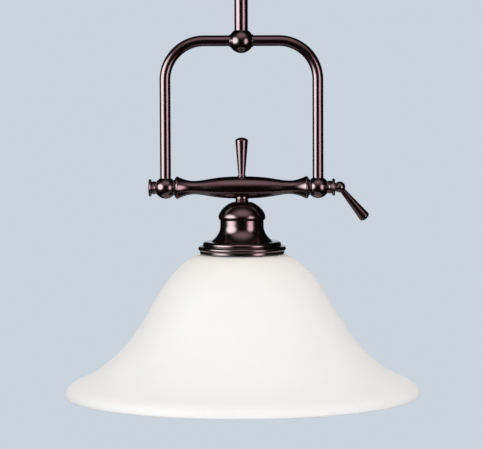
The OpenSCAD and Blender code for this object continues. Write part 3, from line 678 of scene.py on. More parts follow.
@dataclass(frozen=True)
class Finish:
    """A surface finish: the shader's plain numbers, and a tree of nodes for its pattern."""

    name: str
    base: str
    mottle: str  # the colour of the clouds over the base colour
    roughness: float
    metallic: float = 0
    mottle_mm: float = 12
    mottle_share: float = 0.6  # how much of the noise's range the change of colour takes
    spread: float = 0.04  # how far the roughness wanders to either side
    bump_mm: float = 0.6
    bump_height: float = 0.01  # millimetres
    stretch: Triple = (1, 1, 1)
    plain: dict[str, object] = field(default_factory=dict)

    def material(self) -> bpy.types.Material:
        """Builds the finish's material, or finds it where another piece has it already.

        Returns:
            The material.
        """
        found = bpy.data.materials.get(self.name)
        if found:
            return found
        made = bpy.data.materials.new(self.name)
        made.use_nodes = True
        tree = made.node_tree
        tree.nodes.clear()
        place = add_node(tree, "TexCoord").outputs["Object"]
        place = add_node(tree, "Mapping", {"Vector": place, "Scale": self.stretch}).outputs["Vector"]
        shader = add_node(tree, "BsdfPrincipled", {
            "Base Color": self.tint(tree, place), "Metallic": self.metallic,
            "Roughness": self.sheen(tree, place), "Normal": self.relief(tree, place), **self.plain})
        add_node(tree, "OutputMaterial", {"Surface": shader.outputs["BSDF"]})
        return made

    def tint(self, tree: Tree, place: Link) -> Link:
        """The colour: clouds of the mottle colour over the base colour.

        Args:
            tree: The material's nodes.
            place: The place on the piece.

        Returns:
            The colour's socket.
        """
        cloud = add_node(tree, "TexNoise", {"Vector": place, "Scale": per_mm(self.mottle_mm), "Detail": 5,
                                            "Roughness": 0.6}).outputs["Fac"]
        half = self.mottle_share / 2
        share = add_node(tree, "MapRange", {"Value": cloud, "From Min": 0.5 - half, "From Max": 0.5 + half})
        return add_node(tree, "Mix", {"Factor": share.outputs["Result"], MIX_A: colour(self.base),
                                      MIX_B: colour(self.mottle)}, data_type="RGBA").outputs[MIX_OUT]

    def sheen(self, tree: Tree, place: Link) -> Link:
        """The roughness: it wanders about its middle value, as handling and polishing leave it.

        Args:
            tree: The material's nodes.
            place: The place on the piece.

        Returns:
            The roughness's socket.
        """
        cloud = add_node(tree, "TexNoise", {"Vector": place, "Scale": per_mm(self.mottle_mm / 3),
                                            "Detail": 3}).outputs["Fac"]
        return add_node(tree, "MapRange", {
            "Value": cloud, "From Min": NOISE[0], "From Max": NOISE[1],
            "To Min": self.roughness - self.spread, "To Max": self.roughness + self.spread}).outputs["Result"]

    def relief(self, tree: Tree, place: Link) -> Link:
        """The bump: a fine grain of a real height.

        Args:
            tree: The material's nodes.
            place: The place on the piece.

        Returns:
            The normal's socket.
        """
        grain = add_node(tree, "TexNoise", {"Vector": place, "Scale": per_mm(self.bump_mm),
                                            "Detail": 2}).outputs["Fac"]
        return add_node(tree, "Bump", {"Height": grain, "Strength": 1.0,
                                       "Distance": self.bump_height * MM}).outputs["Normal"]


@dataclass(frozen=True)
class OpalGlass(Finish):
    """Cased opal glass, with a painted glow close to the neck: lighter and warmer where the holder shades it.
    """

    top: float = -591  # the neck's height in the frame
    band: float = 38  # how far down the painted glow reaches
    # painted light: a lighter, warm colour for the glass just under the holder, where the holder shades it
    painted_glow: str = "FAF5ED"

    def tint(self, tree: Tree, place: Link) -> Link:
        """The colour: a painted glow, lighter and warmer, fades into the clouds below the neck.

        Args:
            tree: The material's nodes.
            place: The place on the piece.

        Returns:
            The colour's socket.
        """
        cloud = super().tint(tree, place)
        height = add_node(tree, "SeparateXYZ", {"Vector": place}).outputs["Z"]
        share = add_node(tree, "MapRange", {
            "Value": height, "From Min": (self.top - self.band) * MM, "From Max": self.top * MM},
            interpolation_type="SMOOTHSTEP").outputs["Result"]
        return add_node(tree, "Mix", {"Factor": share, MIX_A: cloud, MIX_B: colour(self.painted_glow)},
                        data_type="RGBA").outputs[MIX_OUT]


@dataclass(frozen=True)
class WovenSleeve(Finish):
    """A sleeve braided over the wires: two sets of slanted strands cross each other."""

    strand_mm: float = 1.7
    strand_height: float = 0.12
    slant: float = 35

    def relief(self, tree: Tree, place: Link) -> Link:
        """The bump: the strands' ribs, one set over the other.

        Args:
            tree: The material's nodes.
            place: The place on the piece.

        Returns:
            The normal's socket.
        """
        bands = 20 / TAU  # a wave texture's bands to the unit, at scale 1
        waves = []
        for turn in (math.radians(self.slant), math.radians(-self.slant)):
            slanted = add_node(tree, "Mapping", {"Vector": place, "Rotation": (0, turn, turn)})
            waves.append(add_node(tree, "TexWave", {
                "Vector": slanted.outputs["Vector"], "Scale": per_mm(self.strand_mm) / bands}).outputs["Fac"])
        braid = add_node(tree, "Math", {0: waves[0], 1: waves[1]}, operation="MAXIMUM").outputs["Value"]
        return add_node(tree, "Bump", {"Height": braid, "Strength": 1.0,
                                       "Distance": self.strand_height * MM}).outputs["Normal"]


# Brass, turned and bent, darkened to near black in a chemical bath and sealed under gloss lacquer:
# deep and mirror-like, with a red-brown glow where the bath took less and a trace of orange peel.
BRONZE = Finish("oil_rubbed_bronze_lacquer", base="301619", mottle="3B1D21", roughness=0.21, metallic=1.0,
                mottle_mm=16, mottle_share=0.5, spread=0.02, bump_mm=1.4, bump_height=0.0005,
                plain={"Coat Weight": 1.0, "Coat Roughness": 0.18, "Coat IOR": 1.5})
# The same finish on screws and washers, which are taken apart for service: rubbed a little duller.
WORN_BRONZE = Finish("worn_bronze", base="341C1E", mottle="4C2F30", roughness=0.26, metallic=1.0,
                     mottle_mm=5, spread=0.07, bump_mm=0.8, bump_height=0.004,
                     plain={"Coat Weight": 0.6, "Coat Roughness": 0.08})
# Free-cutting brass rod, threaded and left bare: yellow with the first brown bloom of tarnish. Real
# turning marks are too fine to show, so they are drawn as a half-millimetre grain.
BRASS = Finish("turned_brass", base="C79B4E", mottle="9A6F35", roughness=0.27, metallic=1.0,
               mottle_mm=9, spread=0.08, bump_mm=0.5, bump_height=0.004, stretch=(1, 1, 4))
# Pressed steel with a bright zinc plating: cool grey with faint spangles.
ZINC = Finish("bright_zinc_plate", base="B4B8BA", mottle="9CA2A6", roughness=0.36, metallic=1.0,
              mottle_mm=7, spread=0.09, bump_mm=0.7, bump_height=0.006)
# A steel screw in the green that marks the earth.
EARTH_GREEN = Finish("green_dyed_zinc", base="2F7A45", mottle="24633A", roughness=0.32, metallic=0.7,
                     mottle_mm=4, bump_mm=0.5, bump_height=0.005)
# Phenolic resin, pressed in a steel mould with wood flour in it: black, half gloss, faintly speckled.
PHENOLIC = Finish("moulded_phenolic", base="131211", mottle="211E1C", roughness=0.34, mottle_mm=1.6,
                  mottle_share=0.35, spread=0.06, bump_mm=1.1, bump_height=0.008)
# Vulcanised fibre, punched from sheet: matt red-brown with short fibres.
FIBRE = Finish("vulcanised_fibre", base="8A5A3B", mottle="734529", roughness=0.78, mottle_mm=2.5,
               spread=0.06, bump_mm=0.5, bump_height=0.02)
# Silicone rubber, cut from tube: soft, matt and almost black.
SILICONE = Finish("silicone_rubber", base="242322", mottle="2C2A28", roughness=0.72, mottle_mm=6,
                  spread=0.05, bump_mm=0.9, bump_height=0.01)
# Glass-fibre yarn, braided and varnished: straw-white, with ribs drawn coarser than real ones to show.
SLEEVE = WovenSleeve("glass_fibre_sleeve", base="D8D2C2", mottle="C9C1AE", roughness=0.7, mottle_mm=5)
# Cased opal glass, blown into a mould and etched with acid: a satin skin over milky depth, with the
# faint swell of blown glass.
OPAL = OpalGlass("etched_opal_glass", base="F3F2F0", mottle="F6F5F3", roughness=0.6, mottle_mm=42,
                 mottle_share=0.7, spread=0.03, bump_mm=38, bump_height=0.12,
                 plain={"IOR": 1.5, "Specular IOR Level": 0.2, "Subsurface Weight": 0.35,
                        "Subsurface Radius": (1.0, 0.9, 0.8), "Subsurface Scale": 3.5 * MM})
# A lamp's envelope, frosted inside by electrostatic silica: white with a soft outer gloss.
FROSTED_LAMP = Finish("frosted_lamp_glass", base="F1EFEA", mottle="F6F4F0", roughness=0.28, mottle_mm=20,
                      spread=0.03, bump_mm=14, bump_height=0.03, plain={"IOR": 1.5})
# The lamp's base, rolled from thin aluminium.
LAMP_CAP = Finish("rolled_aluminium", base="BFC1C2", mottle="A9ABAD", roughness=0.33, metallic=1.0,
                  mottle_mm=4, spread=0.07, bump_mm=0.5, bump_height=0.004)
# Black glass, poured hot round the lamp's contact.
BLACK_GLASS = Finish("black_lamp_glass", base="0B0B0D", mottle="15141A", roughness=0.12, mottle_mm=3,
                     bump_mm=1.5, bump_height=0.006, plain={"IOR": 1.52})


# ---- Putting pieces in the frame ---------------------------------------------------------

BODY_OF = {node: body for body, nodes in frame["record"]["behaviour"]["bodies"].items() for node in nodes}


def fit(piece: Workpiece, node: str, finish: Finish, sharp: float = 34) -> bpy.types.Object:
    """Puts a finished piece in a CAD node's place.

    Args:
        piece: The piece, whose mesh lies where the node is.
        node: The node that it stands for.
        finish: Its finish.
        sharp: The angle, in degrees, from which an edge is shaded sharp.

    Returns:
        The piece's object.
    """
    obj = piece.clean().smooth(sharp).obj
    obj.data.materials.clear()
    obj.data.materials.append(finish.material())
    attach(obj, BODY_OF[node])
    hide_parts(node)
    log.info("%s: %s, %d faces", obj.name, finish.name, len(obj.data.polygons))
    return obj


def fit_both(piece: Workpiece, name: str, node: str, finish: Finish) -> None:
    """Puts a piece on the yoke's right side and a copy of it, turned half round, on the left.

    Args:
        piece: The right-hand piece, whose name begins with its side.
        name: Both pieces' name after the side.
        node: The CAD node, or its name after the side where each side has its own.
        finish: Their finish.
    """
    for word, one in (("left", piece.copy(f"left_{name}", 180)), ("right", piece)):
        sided = f"{word}_{node}"
        fit(one, sided if sided in BODY_OF else node, finish)


def joint_place(name: str) -> Vector:
    """Where a joint's axis lies, in millimetres."""
    return Vector(next(j["pos_m"] for j in frame["joints"] if j["name"] == name)) / MM


def low(node: str, axis: int = 2) -> float:
    """A CAD node's lowest coordinate on an axis, in millimetres."""
    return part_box(node)[0][axis] / MM


def high(node: str, axis: int = 2) -> float:
    """A CAD node's highest coordinate on an axis, in millimetres."""
    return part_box(node)[1][axis] / MM


def span(node: str) -> Pair:
    """The heights that a CAD node lies between, in millimetres from the crossbar's axis."""
    return low(node) - BAR_Z, high(node) - BAR_Z


# Where things lie, and sizes that several sub-assemblies share.
PIN_Z = joint_place("stem_swing").z
BAR_Z = joint_place("shade_tilt").z
LEVER_X = joint_place("clamp_lever_turn").x
AT_BAR = (0, 0, BAR_Z)
AT_PIN = (0, 0, PIN_Z)
YOKE_HALF = 76.35  # from the middle to the middle of a leg
PLAY = 0.05  # the room that a bore leaves round what goes through it
REACH = 20  # how far out a cutting tool goes, past the face of any small piece
THREAD_R = high("canopy_tube", 0)
TUBE_HOLE = THREAD_R + PLAY
TUBE_BORE = 3.2
TUBE_PITCH = 1.0
TUBE_THREAD = 0.5
LEAD_R = 1.5
LEAD_WAY = 2.6
STEM_R = 6.75
PIVOT_R = 4
STUD_R = 2.5
LAMP_PITCH = 3.63  # seven turns to the inch


# ---- Ceiling mount -----------------------------------------------------------------------


def hex_nut(name: str, across: float, node: str, bore: float, finish: Finish) -> None:
    """A chamfered hexagon nut in a node's place.

    Args:
        name: The piece's name.
        across: Its width across the flats.
        node: The node, which gives its heights.
        bore: The radius of its hole.
        finish: Its finish.
    """
    bottom, top = low(node), high(node)
    corner = across / 2 / math.cos(math.radians(30))
    face = 0.95 * across / 2  # what the chamfer leaves flat
    rise = (corner - face) * math.tan(math.radians(30))
    chamfer = Outline((0, bottom), (face, bottom), (corner + 0.1, bottom + rise), (corner + 0.1, top - rise),
                      (face, top), (0, top))
    nut = Workpiece.rod(name, corner, bottom, top, sides=6).tilt(30, "Z")
    nut.keep(Workpiece.turned("chamfer", chamfer, ease=0))
    nut.cut(Workpiece.turned("bore", Outline(
        (0, bottom - 1), (bore + 1.5, bottom - 1), (bore, bottom + 0.5), (bore, top - 0.5),
        (bore + 1.5, top + 1), (0, top + 1)), ease=0))
    fit(nut.bevel(0.12), node, finish)


@dataclass
class CeilingMount:
    """The strap on the ceiling box, the threaded tube that carries the light, and the canopy."""

    strap: Triple = (108, 20, 2)
    screw_spacing: float = 88.9
    slot: Pair = (2.3, 14)  # its ends' radius and its length
    earth_x: float = 24
    earth_r: float = 2
    nut_across: float = 14
    canopy_wall: float = 1.2
    ring_r: float = 12.5
    knurl: tuple[float, int] = (0.35, 72)  # its depth and number of ridges
    cup_r: float = 1.8  # the lead's cup

    def build(self) -> None:
        """Builds and dresses the mount's pieces."""
        self.make_strap()
        self.make_earth_screw()
        self.make_tube()
        for node, name in (("strap_nut", "strap_hex_nut"), ("swivel_nut", "swivel_hex_nut")):
            hex_nut(name, self.nut_across, node, TUBE_HOLE, ZINC)
        self.make_canopy()
        self.make_ring_nut()
        self.make_lead()

    def make_strap(self) -> None:
        """The pressed strap, with its two screw slots and its ends cut to the canopy's round."""
        length, _, thick = self.strap
        radius, run = self.slot
        strap = Workpiece.block("ceiling_strap", self.strap, (0, 0, -thick / 2))
        strap.keep(Workpiece.rod("round", length / 2, -thick - 1, 1, sides=192))
        strap.cut(Workpiece.rod("tube hole", TUBE_HOLE, -thick - 1, 1),
                  Workpiece.rod("earth hole", self.earth_r + PLAY, -thick - 1, 1, at=(self.earth_x, 0, 0)))
        for side in (-1, 1):
            middle, half = side * self.screw_spacing / 2, run / 2 - radius
            strap.cut(Workpiece.block("slot", (2 * half, 2 * radius, 9), (middle, 0, 0)))
            for end in (-half, half):
                strap.cut(Workpiece.rod("slot end", radius, -5, 5, at=(middle + end, 0, 0)))
        fit(strap.bevel(0.3), "mounting_strap", ZINC)

    def make_earth_screw(self) -> None:
        """The slotted screw that the earth wire goes under."""
        top, bottom = -self.strap[2], low("earth_screw")
        shape = Outline((0, bottom), (1.6, bottom)).curve((3.2, bottom), (4, bottom + 0.6), (4, bottom + 1.3))
        shape.line((4, top), (self.earth_r, top), (self.earth_r, 0), (0, 0))
        screw = Workpiece.turned("slotted_earth_screw", shape, at=(self.earth_x, 0, 0))
        screw.cut(Workpiece.block("slot", (9, 0.9, 1.8), (self.earth_x, 0, bottom)))
        fit(screw.bevel(0.1), "earth_screw", EARTH_GREEN)

    def make_tube(self) -> None:
        """The threaded tube."""
        start, end = low("canopy_tube"), high("canopy_tube")
        tube = Workpiece.threaded("threaded_canopy_tube", THREAD_R, start, end, TUBE_PITCH, TUBE_THREAD)
        fit(tube.cut(Workpiece.rod("bore", TUBE_BORE, start - 1, end + 1)), "canopy_tube", BRASS)

    def make_canopy(self) -> None:
        """The spun canopy: a flat middle, a sweep, a step with a round edge and a round rim."""
        edge, depth = high("canopy", 0), low("canopy")
        shape = Outline((edge, 0)).arc((edge - 4, -4), 4, 0, -90, 14)
        shape.arc((edge - 11.5, depth / 2 + 3), 3, 0, -90, 12).line((edge - 15.5, depth / 2))
        shape.curve((edge - 23.5, depth / 2 - 6), (30, depth), (14, depth), 24).line((TUBE_HOLE, depth))
        canopy = Workpiece.turned("spun_canopy", shape.wall(self.canopy_wall), steps=192)
        fit(canopy, "canopy", BRONZE)

    def make_ring_nut(self) -> None:
        """The knurled ring nut that holds the canopy up."""
        bottom, top = low("canopy_nut"), high("canopy_nut")
        nut = Workpiece.knurled("knurled_ring_nut", self.ring_r, *self.knurl, bottom, top)
        rounds = Outline((0, bottom), (self.ring_r - 1.2, bottom), (self.ring_r + 0.1, bottom + 1.2),
                         (self.ring_r + 0.1, top - 0.4), (self.ring_r - 0.4, top), (0, top))
        nut.keep(Workpiece.turned("chamfer", rounds, ease=0))
        nut.cut(Workpiece.rod("bore", TUBE_HOLE, bottom - 1, top + 1))
        fit(nut.bevel(0.08), "canopy_nut", BRONZE)

    def make_lead(self) -> None:
        """The sleeved lead's upper length, with a cup round the lower one's end."""
        meet = math.degrees(math.acos(LEAD_R / self.cup_r))
        shape = Outline().arc((0, 0), self.cup_r, 90, meet, 8).line((LEAD_R, -PIN_Z), (0, -PIN_Z))
        fit(Workpiece.turned("sleeved_lead_top", shape, at=AT_PIN, steps=32), "canopy_lead", SLEEVE)


# ---- Swivel and yoke ---------------------------------------------------------------------


@dataclass
class Swivel:
    """The ball that turns on the threaded tube, and the tongue that swings between its ears."""

    ball_r: float = 14
    neck_r: float = 10.5
    height: float = 20
    slot_half: float = 7.3  # half the room between the ears
    pocket_r: float = 8.4  # where the nut lies
    pocket_top: float = 16.6
    tongue_r: float = 9
    tongue_t: float = 14  # the tongue's thickness along the pin
    neck_t: float = 11  # and the other way
    collar_r: float = 9.6
    collar_h: float = 13
    way: float = 4.8  # the width of the lead's way, which opens with the swing
    swing: float = 45
    shoulder_r: float = 3  # the screws' three radii, and where their heads sit
    tip_r: float = 2.5
    head_r: float = 4.4
    head_x: float = 11.15

    def build(self) -> None:
        """Builds and dresses the swivel's pieces."""
        self.make_ball()
        self.make_tongue()
        self.make_screws()

    def make_ball(self) -> None:
        """The ball, slotted from below, with a pocket for the nut and a counterbore on each side."""
        meet = math.degrees(math.acos(self.neck_r / self.ball_r))
        shape = Outline().arc((0, 0), self.ball_r, -90, meet - 3, 40)
        rise = self.ball_r * math.sin(math.radians(meet))
        shape.curve((self.neck_r + 0.3, rise - 0.2), (self.neck_r, rise + 0.4), (self.neck_r, rise + 1.6), 5)
        shape.line((self.neck_r, self.height), (0, self.height))
        ball = Workpiece.turned("slotted_ball", shape, at=AT_PIN, ease=0.5)
        pocket, side = self.tongue_r + 0.6, 60
        ball.cut(
            Workpiece.block("slot", (2 * self.slot_half, side, side), (0, 0, PIN_Z + pocket - side / 2)),
            Workpiece.rod("pocket", self.pocket_r, pocket - 1, self.pocket_top, at=AT_PIN),
            Workpiece.rod("tube bore", TUBE_HOLE, 0, self.height + 1, at=AT_PIN),
            Workpiece.rod("hinge bore", self.shoulder_r + PLAY, -REACH, REACH, Axis.X, AT_PIN))
        for end in Side:
            ball.cut(Workpiece.rod("counterbore", self.head_r + 0.3, self.head_x - 0.15, REACH, end.outwards,
                                   AT_PIN))
        fit(ball.bevel(0.3, sharp=40), "swivel_ball", BRONZE)

    def make_tongue(self) -> None:
        """The tongue, with the collar that the stem is fixed in."""
        collar = PIN_Z - self.ball_r - 0.6
        bottom = collar - self.collar_h
        shape = Outline((0, bottom), (self.collar_r - 1, bottom), (self.collar_r, bottom + 1),
                        (self.collar_r, collar - 1), (self.collar_r - 1, collar), (0, collar))
        tongue = Workpiece.turned("tongue_collar", shape)
        tongue.add(Workpiece.block("neck", (self.tongue_t - 0.4, self.neck_t, PIN_Z - collar + 1),
                                   (0, 0, (PIN_Z + collar - 1) / 2)),
                   Workpiece.rod("eye", self.tongue_r, -self.tongue_t / 2, self.tongue_t / 2, Axis.X, AT_PIN))
        notch = PIN_Z - self.way / 2 / math.sin(math.radians(self.swing))
        side = 30
        tongue.cut(
            Workpiece.rod("stem seat", STEM_R + PLAY, bottom - 1, high("stem")),
            Workpiece.rod("lead way", self.way / 2, high("stem") - 1, PIN_Z),
            Workpiece.rod("screw hole", self.tip_r + PLAY, -self.tongue_r, self.tongue_r, Axis.X, AT_PIN),
            Workpiece.block("swing notch", (self.way, side, side), (0, 0, 0)).tilt(self.swing, "X").move(
                (0, 0, notch + side / math.sqrt(2))))
        fit(tongue.bevel(0.25, sharp=40), "stem_tongue", BRONZE)

    def make_screws(self) -> None:
        """The two slotted shoulder screws that the tongue turns on."""
        face = high("swivel_screws", 0)
        shape = Outline((0, 2.7), (2.2, 2.7), (self.tip_r, 3.1), (self.tip_r, 7), (self.shoulder_r, 7))
        shape.line((self.shoulder_r, self.head_x), (self.head_r, self.head_x), (self.head_r, face - 0.7))
        shape.curve((self.head_r - 0.2, face - 0.2), (self.head_r - 1.4, face), (0, face), 8)
        screw = Workpiece.turned("right_shoulder_screw", shape, Axis.X, AT_PIN)
        screw.cut(Workpiece.block("slot", (1.6, 12, 1), (face, 0, PIN_Z)))
        fit_both(screw.bevel(0.1), "shoulder_screw", "swivel_screws", WORN_BRONZE)


@dataclass
class Yoke:
    """The stem, the hub at its end, the two bent arms and the balls at their ends."""

    stem_wall: float = 2
    hub_r: float = 12.45
    lip: Pair = (6.4, 12)  # its radius and how far out it stands
    hub_seats: Pair = (5.8, 6)  # how near the middle the stem and the arms come
    arm_r: float = 5.45
    arm_wall: float = 1.3
    bend_r: float = 39
    ball_r: float = 11
    flats: Pair = (7.6, 8.95)  # the balls' faces, inner and outer, from their middles
    leg_seat: float = 5  # how near the ball's middle the leg comes
    lead_bends: Pair = (4, 3)  # its bends in the hub and in the left ball

    def __post_init__(self) -> None:
        """Works out the hub's height, the arms' straight reach and the lead's way in the tubes."""
        self.hub_z = high("left_arm") - self.arm_r
        self.reach = YOKE_HALF - self.bend_r
        self.stem_way = STEM_R - self.stem_wall
        self.arm_way = self.arm_r - self.arm_wall

    def build(self) -> None:
        """Builds and dresses the yoke's pieces."""
        self.make_stem()
        self.make_hub()
        self.make_arms()
        self.make_balls()
        self.make_lead()

    def make_stem(self) -> None:
        """The straight stem tube."""
        bottom, top = low("stem"), high("stem")
        shape = Outline((self.stem_way, bottom), (STEM_R, bottom), (STEM_R, top), (self.stem_way, top))
        fit(Workpiece.turned("stem_tube", shape, ease=0.4), "stem", BRONZE)

    def make_hub(self) -> None:
        """The hub ball: a lip stands round each arm, and the stem goes in from above."""
        (radius, out), (stem_seat, arm_seat) = self.lip, self.hub_seats
        at, bore = (0, 0, self.hub_z), self.arm_r + PLAY
        shape = Outline().arc((0, 0), self.hub_r, 0, 57.5, 40)
        shape.line((radius + 0.15, out - 1.35), (radius - 0.1, out - 1.2), (radius - 0.1, out - 1.0))
        shape.arc((radius - 0.5, out - 0.5), 0.5, -45, 60, 6)
        shape.line((bore, out), (bore, arm_seat), (self.arm_way, arm_seat))
        hub = Workpiece.turned("hub_ball", shape.mirrored(), Axis.X, at, ease=0.15)
        hub.cut(Workpiece.rod("stem seat", STEM_R + PLAY, stem_seat, REACH, at=at),
                Workpiece.rod("lead way", self.stem_way, -2.1, REACH, at=at))
        fit(hub.bevel(0.35, 3, sharp=50), "yoke_hub", BRONZE)

    def make_arms(self) -> None:
        """The tube arms: out of the hub, round the bend and down the leg."""
        seat = self.hub_seats[1]
        run = PipeRun("right_arm_tube", self.arm_r, (seat, self.hub_z), (1, 0), sides=96)
        run.straight(self.reach - seat, 4).bend(self.bend_r, 90, 48)
        run.straight(self.hub_z - self.bend_r - BAR_Z - self.leg_seat, 6)
        fit_both(run.done(self.arm_wall), "arm_tube", "arm", BRONZE)

    def make_balls(self) -> None:
        """The balls that the legs end in, faced flat on both sides and bored for the pivots."""
        (inner, outer), bore, at = self.flats, PIVOT_R + PLAY, (YOKE_HALF, 0, BAR_Z)
        start, end = (math.degrees(math.asin(x / self.ball_r)) for x in (-inner, outer))
        shape = Outline((bore, -inner)).arc((0, 0), self.ball_r, start, end, 40).line((bore, outer))
        ball = Workpiece.turned("right_leg_ball", shape, Axis.X, at, ease=0.35)
        ball.cut(Workpiece.rod("leg seat", self.arm_r + PLAY, self.leg_seat, REACH, at=at),
                 Workpiece.rod("lead way", self.arm_way, 0, REACH, at=at))
        fit_both(ball.bevel(0.3, 3, sharp=50), "leg_ball", "ball", BRONZE)

    def make_lead(self) -> None:
        """The lead's middle length, from the swivel pin through the left arm to the pivot."""
        first, last = self.lead_bends
        run = PipeRun("sleeved_lead_yoke", LEAD_R, (0, PIN_Z), (0, -1), sides=24)
        run.straight(PIN_Z - self.hub_z - first, 12).bend(first, 90, 12)
        run.straight(self.reach - first, 3).bend(self.bend_r, -90, 24)
        run.straight(self.hub_z - self.bend_r - BAR_Z - last, 6).bend(last, -90, 10)
        lead = run.done()
        end = Outline().arc((0, 0), LEAD_R, -90, 90, 12)
        fit(lead.add(Workpiece.turned("end", end, at=AT_PIN, steps=24)), "yoke_lead", SLEEVE)


# ---- Tilting head ------------------------------------------------------------------------


@dataclass
class Crossbar:
    """The turned crossbar, the two pivots in its ends, and the washers and finials outside."""

    half: float = 67.4
    belly_r: float = 11.2
    waist: Pair = (6.8, 48)  # its radius and its place from the middle
    flare: Pair = (11.1, 64)
    end_r: float = 8.2
    tube_seat: float = 6  # the height that the drop tube reaches
    lever_seat: Pair = (4.6, 10.3)  # its radius and floor
    neck_seat: Pair = (7.0, -9)
    pivot_seat: float = 12.5  # how deep the pivots sit
    pivot_bore: float = 2.5
    washer: Pair = (7.9, 1.2)  # its radius and thickness
    lever_washer_r: float = 4.4
    finial_neck_r: float = 6.1
    finial_len: float = 7.8
    finial_seat: float = 5  # how deep the hollow pivot sits in the left finial
    disc: Pair = (8.8, 2.8)  # its radius and thickness
    lead_bend: float = 4
    lead_tilt: float = 53  # the tilt, in degrees, up to which the lead stays clear of its pivot

    def __post_init__(self) -> None:
        """Works out where the pivots and the finials begin."""
        self.pivot_x = self.half - self.pivot_seat
        self.finial_x = high("right_finial", 0) - self.finial_len

    def build(self) -> None:
        """Builds and dresses the crossbar's pieces."""
        self.make_bar()
        self.make_left_pivot()
        self.make_right_pivot()
        self.make_washers()
        for side in Side:
            self.make_finial(side)
        self.make_lead()

    def make_bar(self) -> None:
        """The crossbar: a long belly, two waists and two flared ends."""
        (waist_r, waist_x), (flare_r, flare_x), half = self.waist, self.flare, self.half
        shape = Outline((self.belly_r, 0)).curve((self.belly_r, 30), (waist_r, waist_x - 12), self.waist, 28)
        shape.curve((waist_r, waist_x + 6), (flare_r - 2, flare_x - 4), self.flare, 18)
        shape.curve((flare_r + 0.7, flare_x + 1.2), (self.end_r + 2.4, half - 0.9), (self.end_r, half), 14)
        bar = Workpiece.turned("turned_crossbar", shape.line((0, half)).mirrored(), Axis.X, AT_BAR, ease=0.15,
                               steps=160)
        bar.cut(
            Workpiece.rod("lead way", LEAD_WAY, 0, half, Axis.MINUS_X, AT_BAR),
            Workpiece.rod("tube seat", TUBE_HOLE, -REACH, self.tube_seat, at=AT_BAR),
            Workpiece.rod("stud way", STUD_R + PLAY, 0, REACH, at=AT_BAR),
            Workpiece.rod("lever seat", *self.lever_seat, REACH, at=AT_BAR),
            Workpiece.rod("neck seat", self.neck_seat[0], -REACH, self.neck_seat[1], at=AT_BAR))
        for side in Side:
            bar.cut(Workpiece.rod("pivot seat", PIVOT_R + PLAY, self.pivot_x, half + 1, side.outwards,
                                  AT_BAR))
        fit(bar.bevel(0.2, sharp=50), "crossbar", BRONZE)

    def make_left_pivot(self) -> None:
        """The hollow pivot, slotted so that the lead stays clear of it while the head tilts."""
        start, end, way = self.pivot_x, self.finial_x + self.finial_seat, self.pivot_bore
        shape = Outline((way, start), (PIVOT_R, start), (PIVOT_R, end), (way, end))
        pivot = Workpiece.turned("hollow_pivot", shape, Axis.MINUS_X, AT_BAR, steps=96)
        floor = way * math.cos(math.radians(self.lead_tilt) + math.asin(LEAD_R / way))
        width, height = 4.8, 10
        pivot.cut(Workpiece.block("slot", (width, REACH, height),
                                  (-YOKE_HALF, 0, BAR_Z + floor + height / 2)))
        fit(pivot.bevel(0.15, sharp=50), "left_pivot", BRASS)

    def make_right_pivot(self) -> None:
        """The solid pivot, with the stud of the clamp."""
        start, shoulder, end = self.pivot_x, self.finial_x - 0.15, high("right_pivot", 0)
        shape = Outline((0, start), (PIVOT_R, start), (PIVOT_R, shoulder), (STUD_R, shoulder), (STUD_R, end),
                        (0, end))
        fit(Workpiece.turned("stud_pivot", shape, Axis.X, AT_BAR, steps=96), "right_pivot", BRASS)

    def make_washers(self) -> None:
        """The thin washers between the crossbar and the balls, and the one under the clamp's ball."""
        (radius, thick), bore = self.washer, PIVOT_R + PLAY
        shape = Outline((bore, self.half), (radius, self.half), (radius, self.half + thick),
                        (bore, self.half + thick))
        fit_both(Workpiece.turned("right_pivot_washer", shape, Axis.X, AT_BAR, ease=0.35), "pivot_washer",
                 "washer", WORN_BRONZE)
        radius, bore = self.lever_washer_r, STUD_R + PLAY
        start, end = low("lever_washer", 0), high("lever_washer", 0)
        shape = Outline((bore, start), (radius, start), (radius, end), (bore, end))
        fit(Workpiece.turned("clamp_washer", shape, Axis.X, AT_BAR, ease=0.3, steps=96), "lever_washer",
            WORN_BRONZE)

    def make_finial(self, side: Side) -> None:
        """The spool outside the ball: a neck with a bead on it, and a disc.

        Args:
            side: Its side. The left one has a domed face, the right one a hole for the stud.
        """
        neck, length, (disc_r, disc_t) = self.finial_neck_r, self.finial_len, self.disc
        edge = disc_t / 2
        disc_x, rim, stud_hole = length - edge, disc_r - edge, STUD_R + PLAY
        if side is Side.LEFT:
            seat, bore = self.finial_seat, PIVOT_R + PLAY
            shape = Outline((0, seat), (bore, seat), (bore, 0))
        else:
            shape = Outline((stud_hole, 0))
        shape.line((neck + 0.2, 0), (neck, 0.8)).arc((neck - 0.3, 2.8), 0.9, -42, 42, 12).line((neck, 3.8))
        shape.curve((neck, disc_x - edge - 0.2), (disc_r - 1.6, disc_x - edge), (rim, disc_x - edge), 8)
        shape.arc((rim, disc_x), edge, -70, 90, 16)
        if side is Side.LEFT:
            shape.curve((rim - 2, length + 0.48), (3, length + 0.6), (0, length + 0.6), 10)
        else:
            shape.line((stud_hole, length))
        finial = Workpiece.turned(side.word + "_spool_finial", shape, side.outwards,
                                  (side.sign * self.finial_x, 0, BAR_Z), ease=0.15)
        fit(finial, side.word + "_finial", BRONZE)

    def make_lead(self) -> None:
        """The lead's last length: along the crossbar and down the drop tube to the socket."""
        start, bend = low("crossbar_lead", 0), self.lead_bend
        run = PipeRun("sleeved_lead_head", LEAD_R, (start, BAR_Z), (1, 0), sides=24)
        run.straight(-bend - start, 6).bend(bend, 90, 12).straight(BAR_Z - bend - low("crossbar_lead"), 6)
        fit(run.done(), "crossbar_lead", SLEEVE)


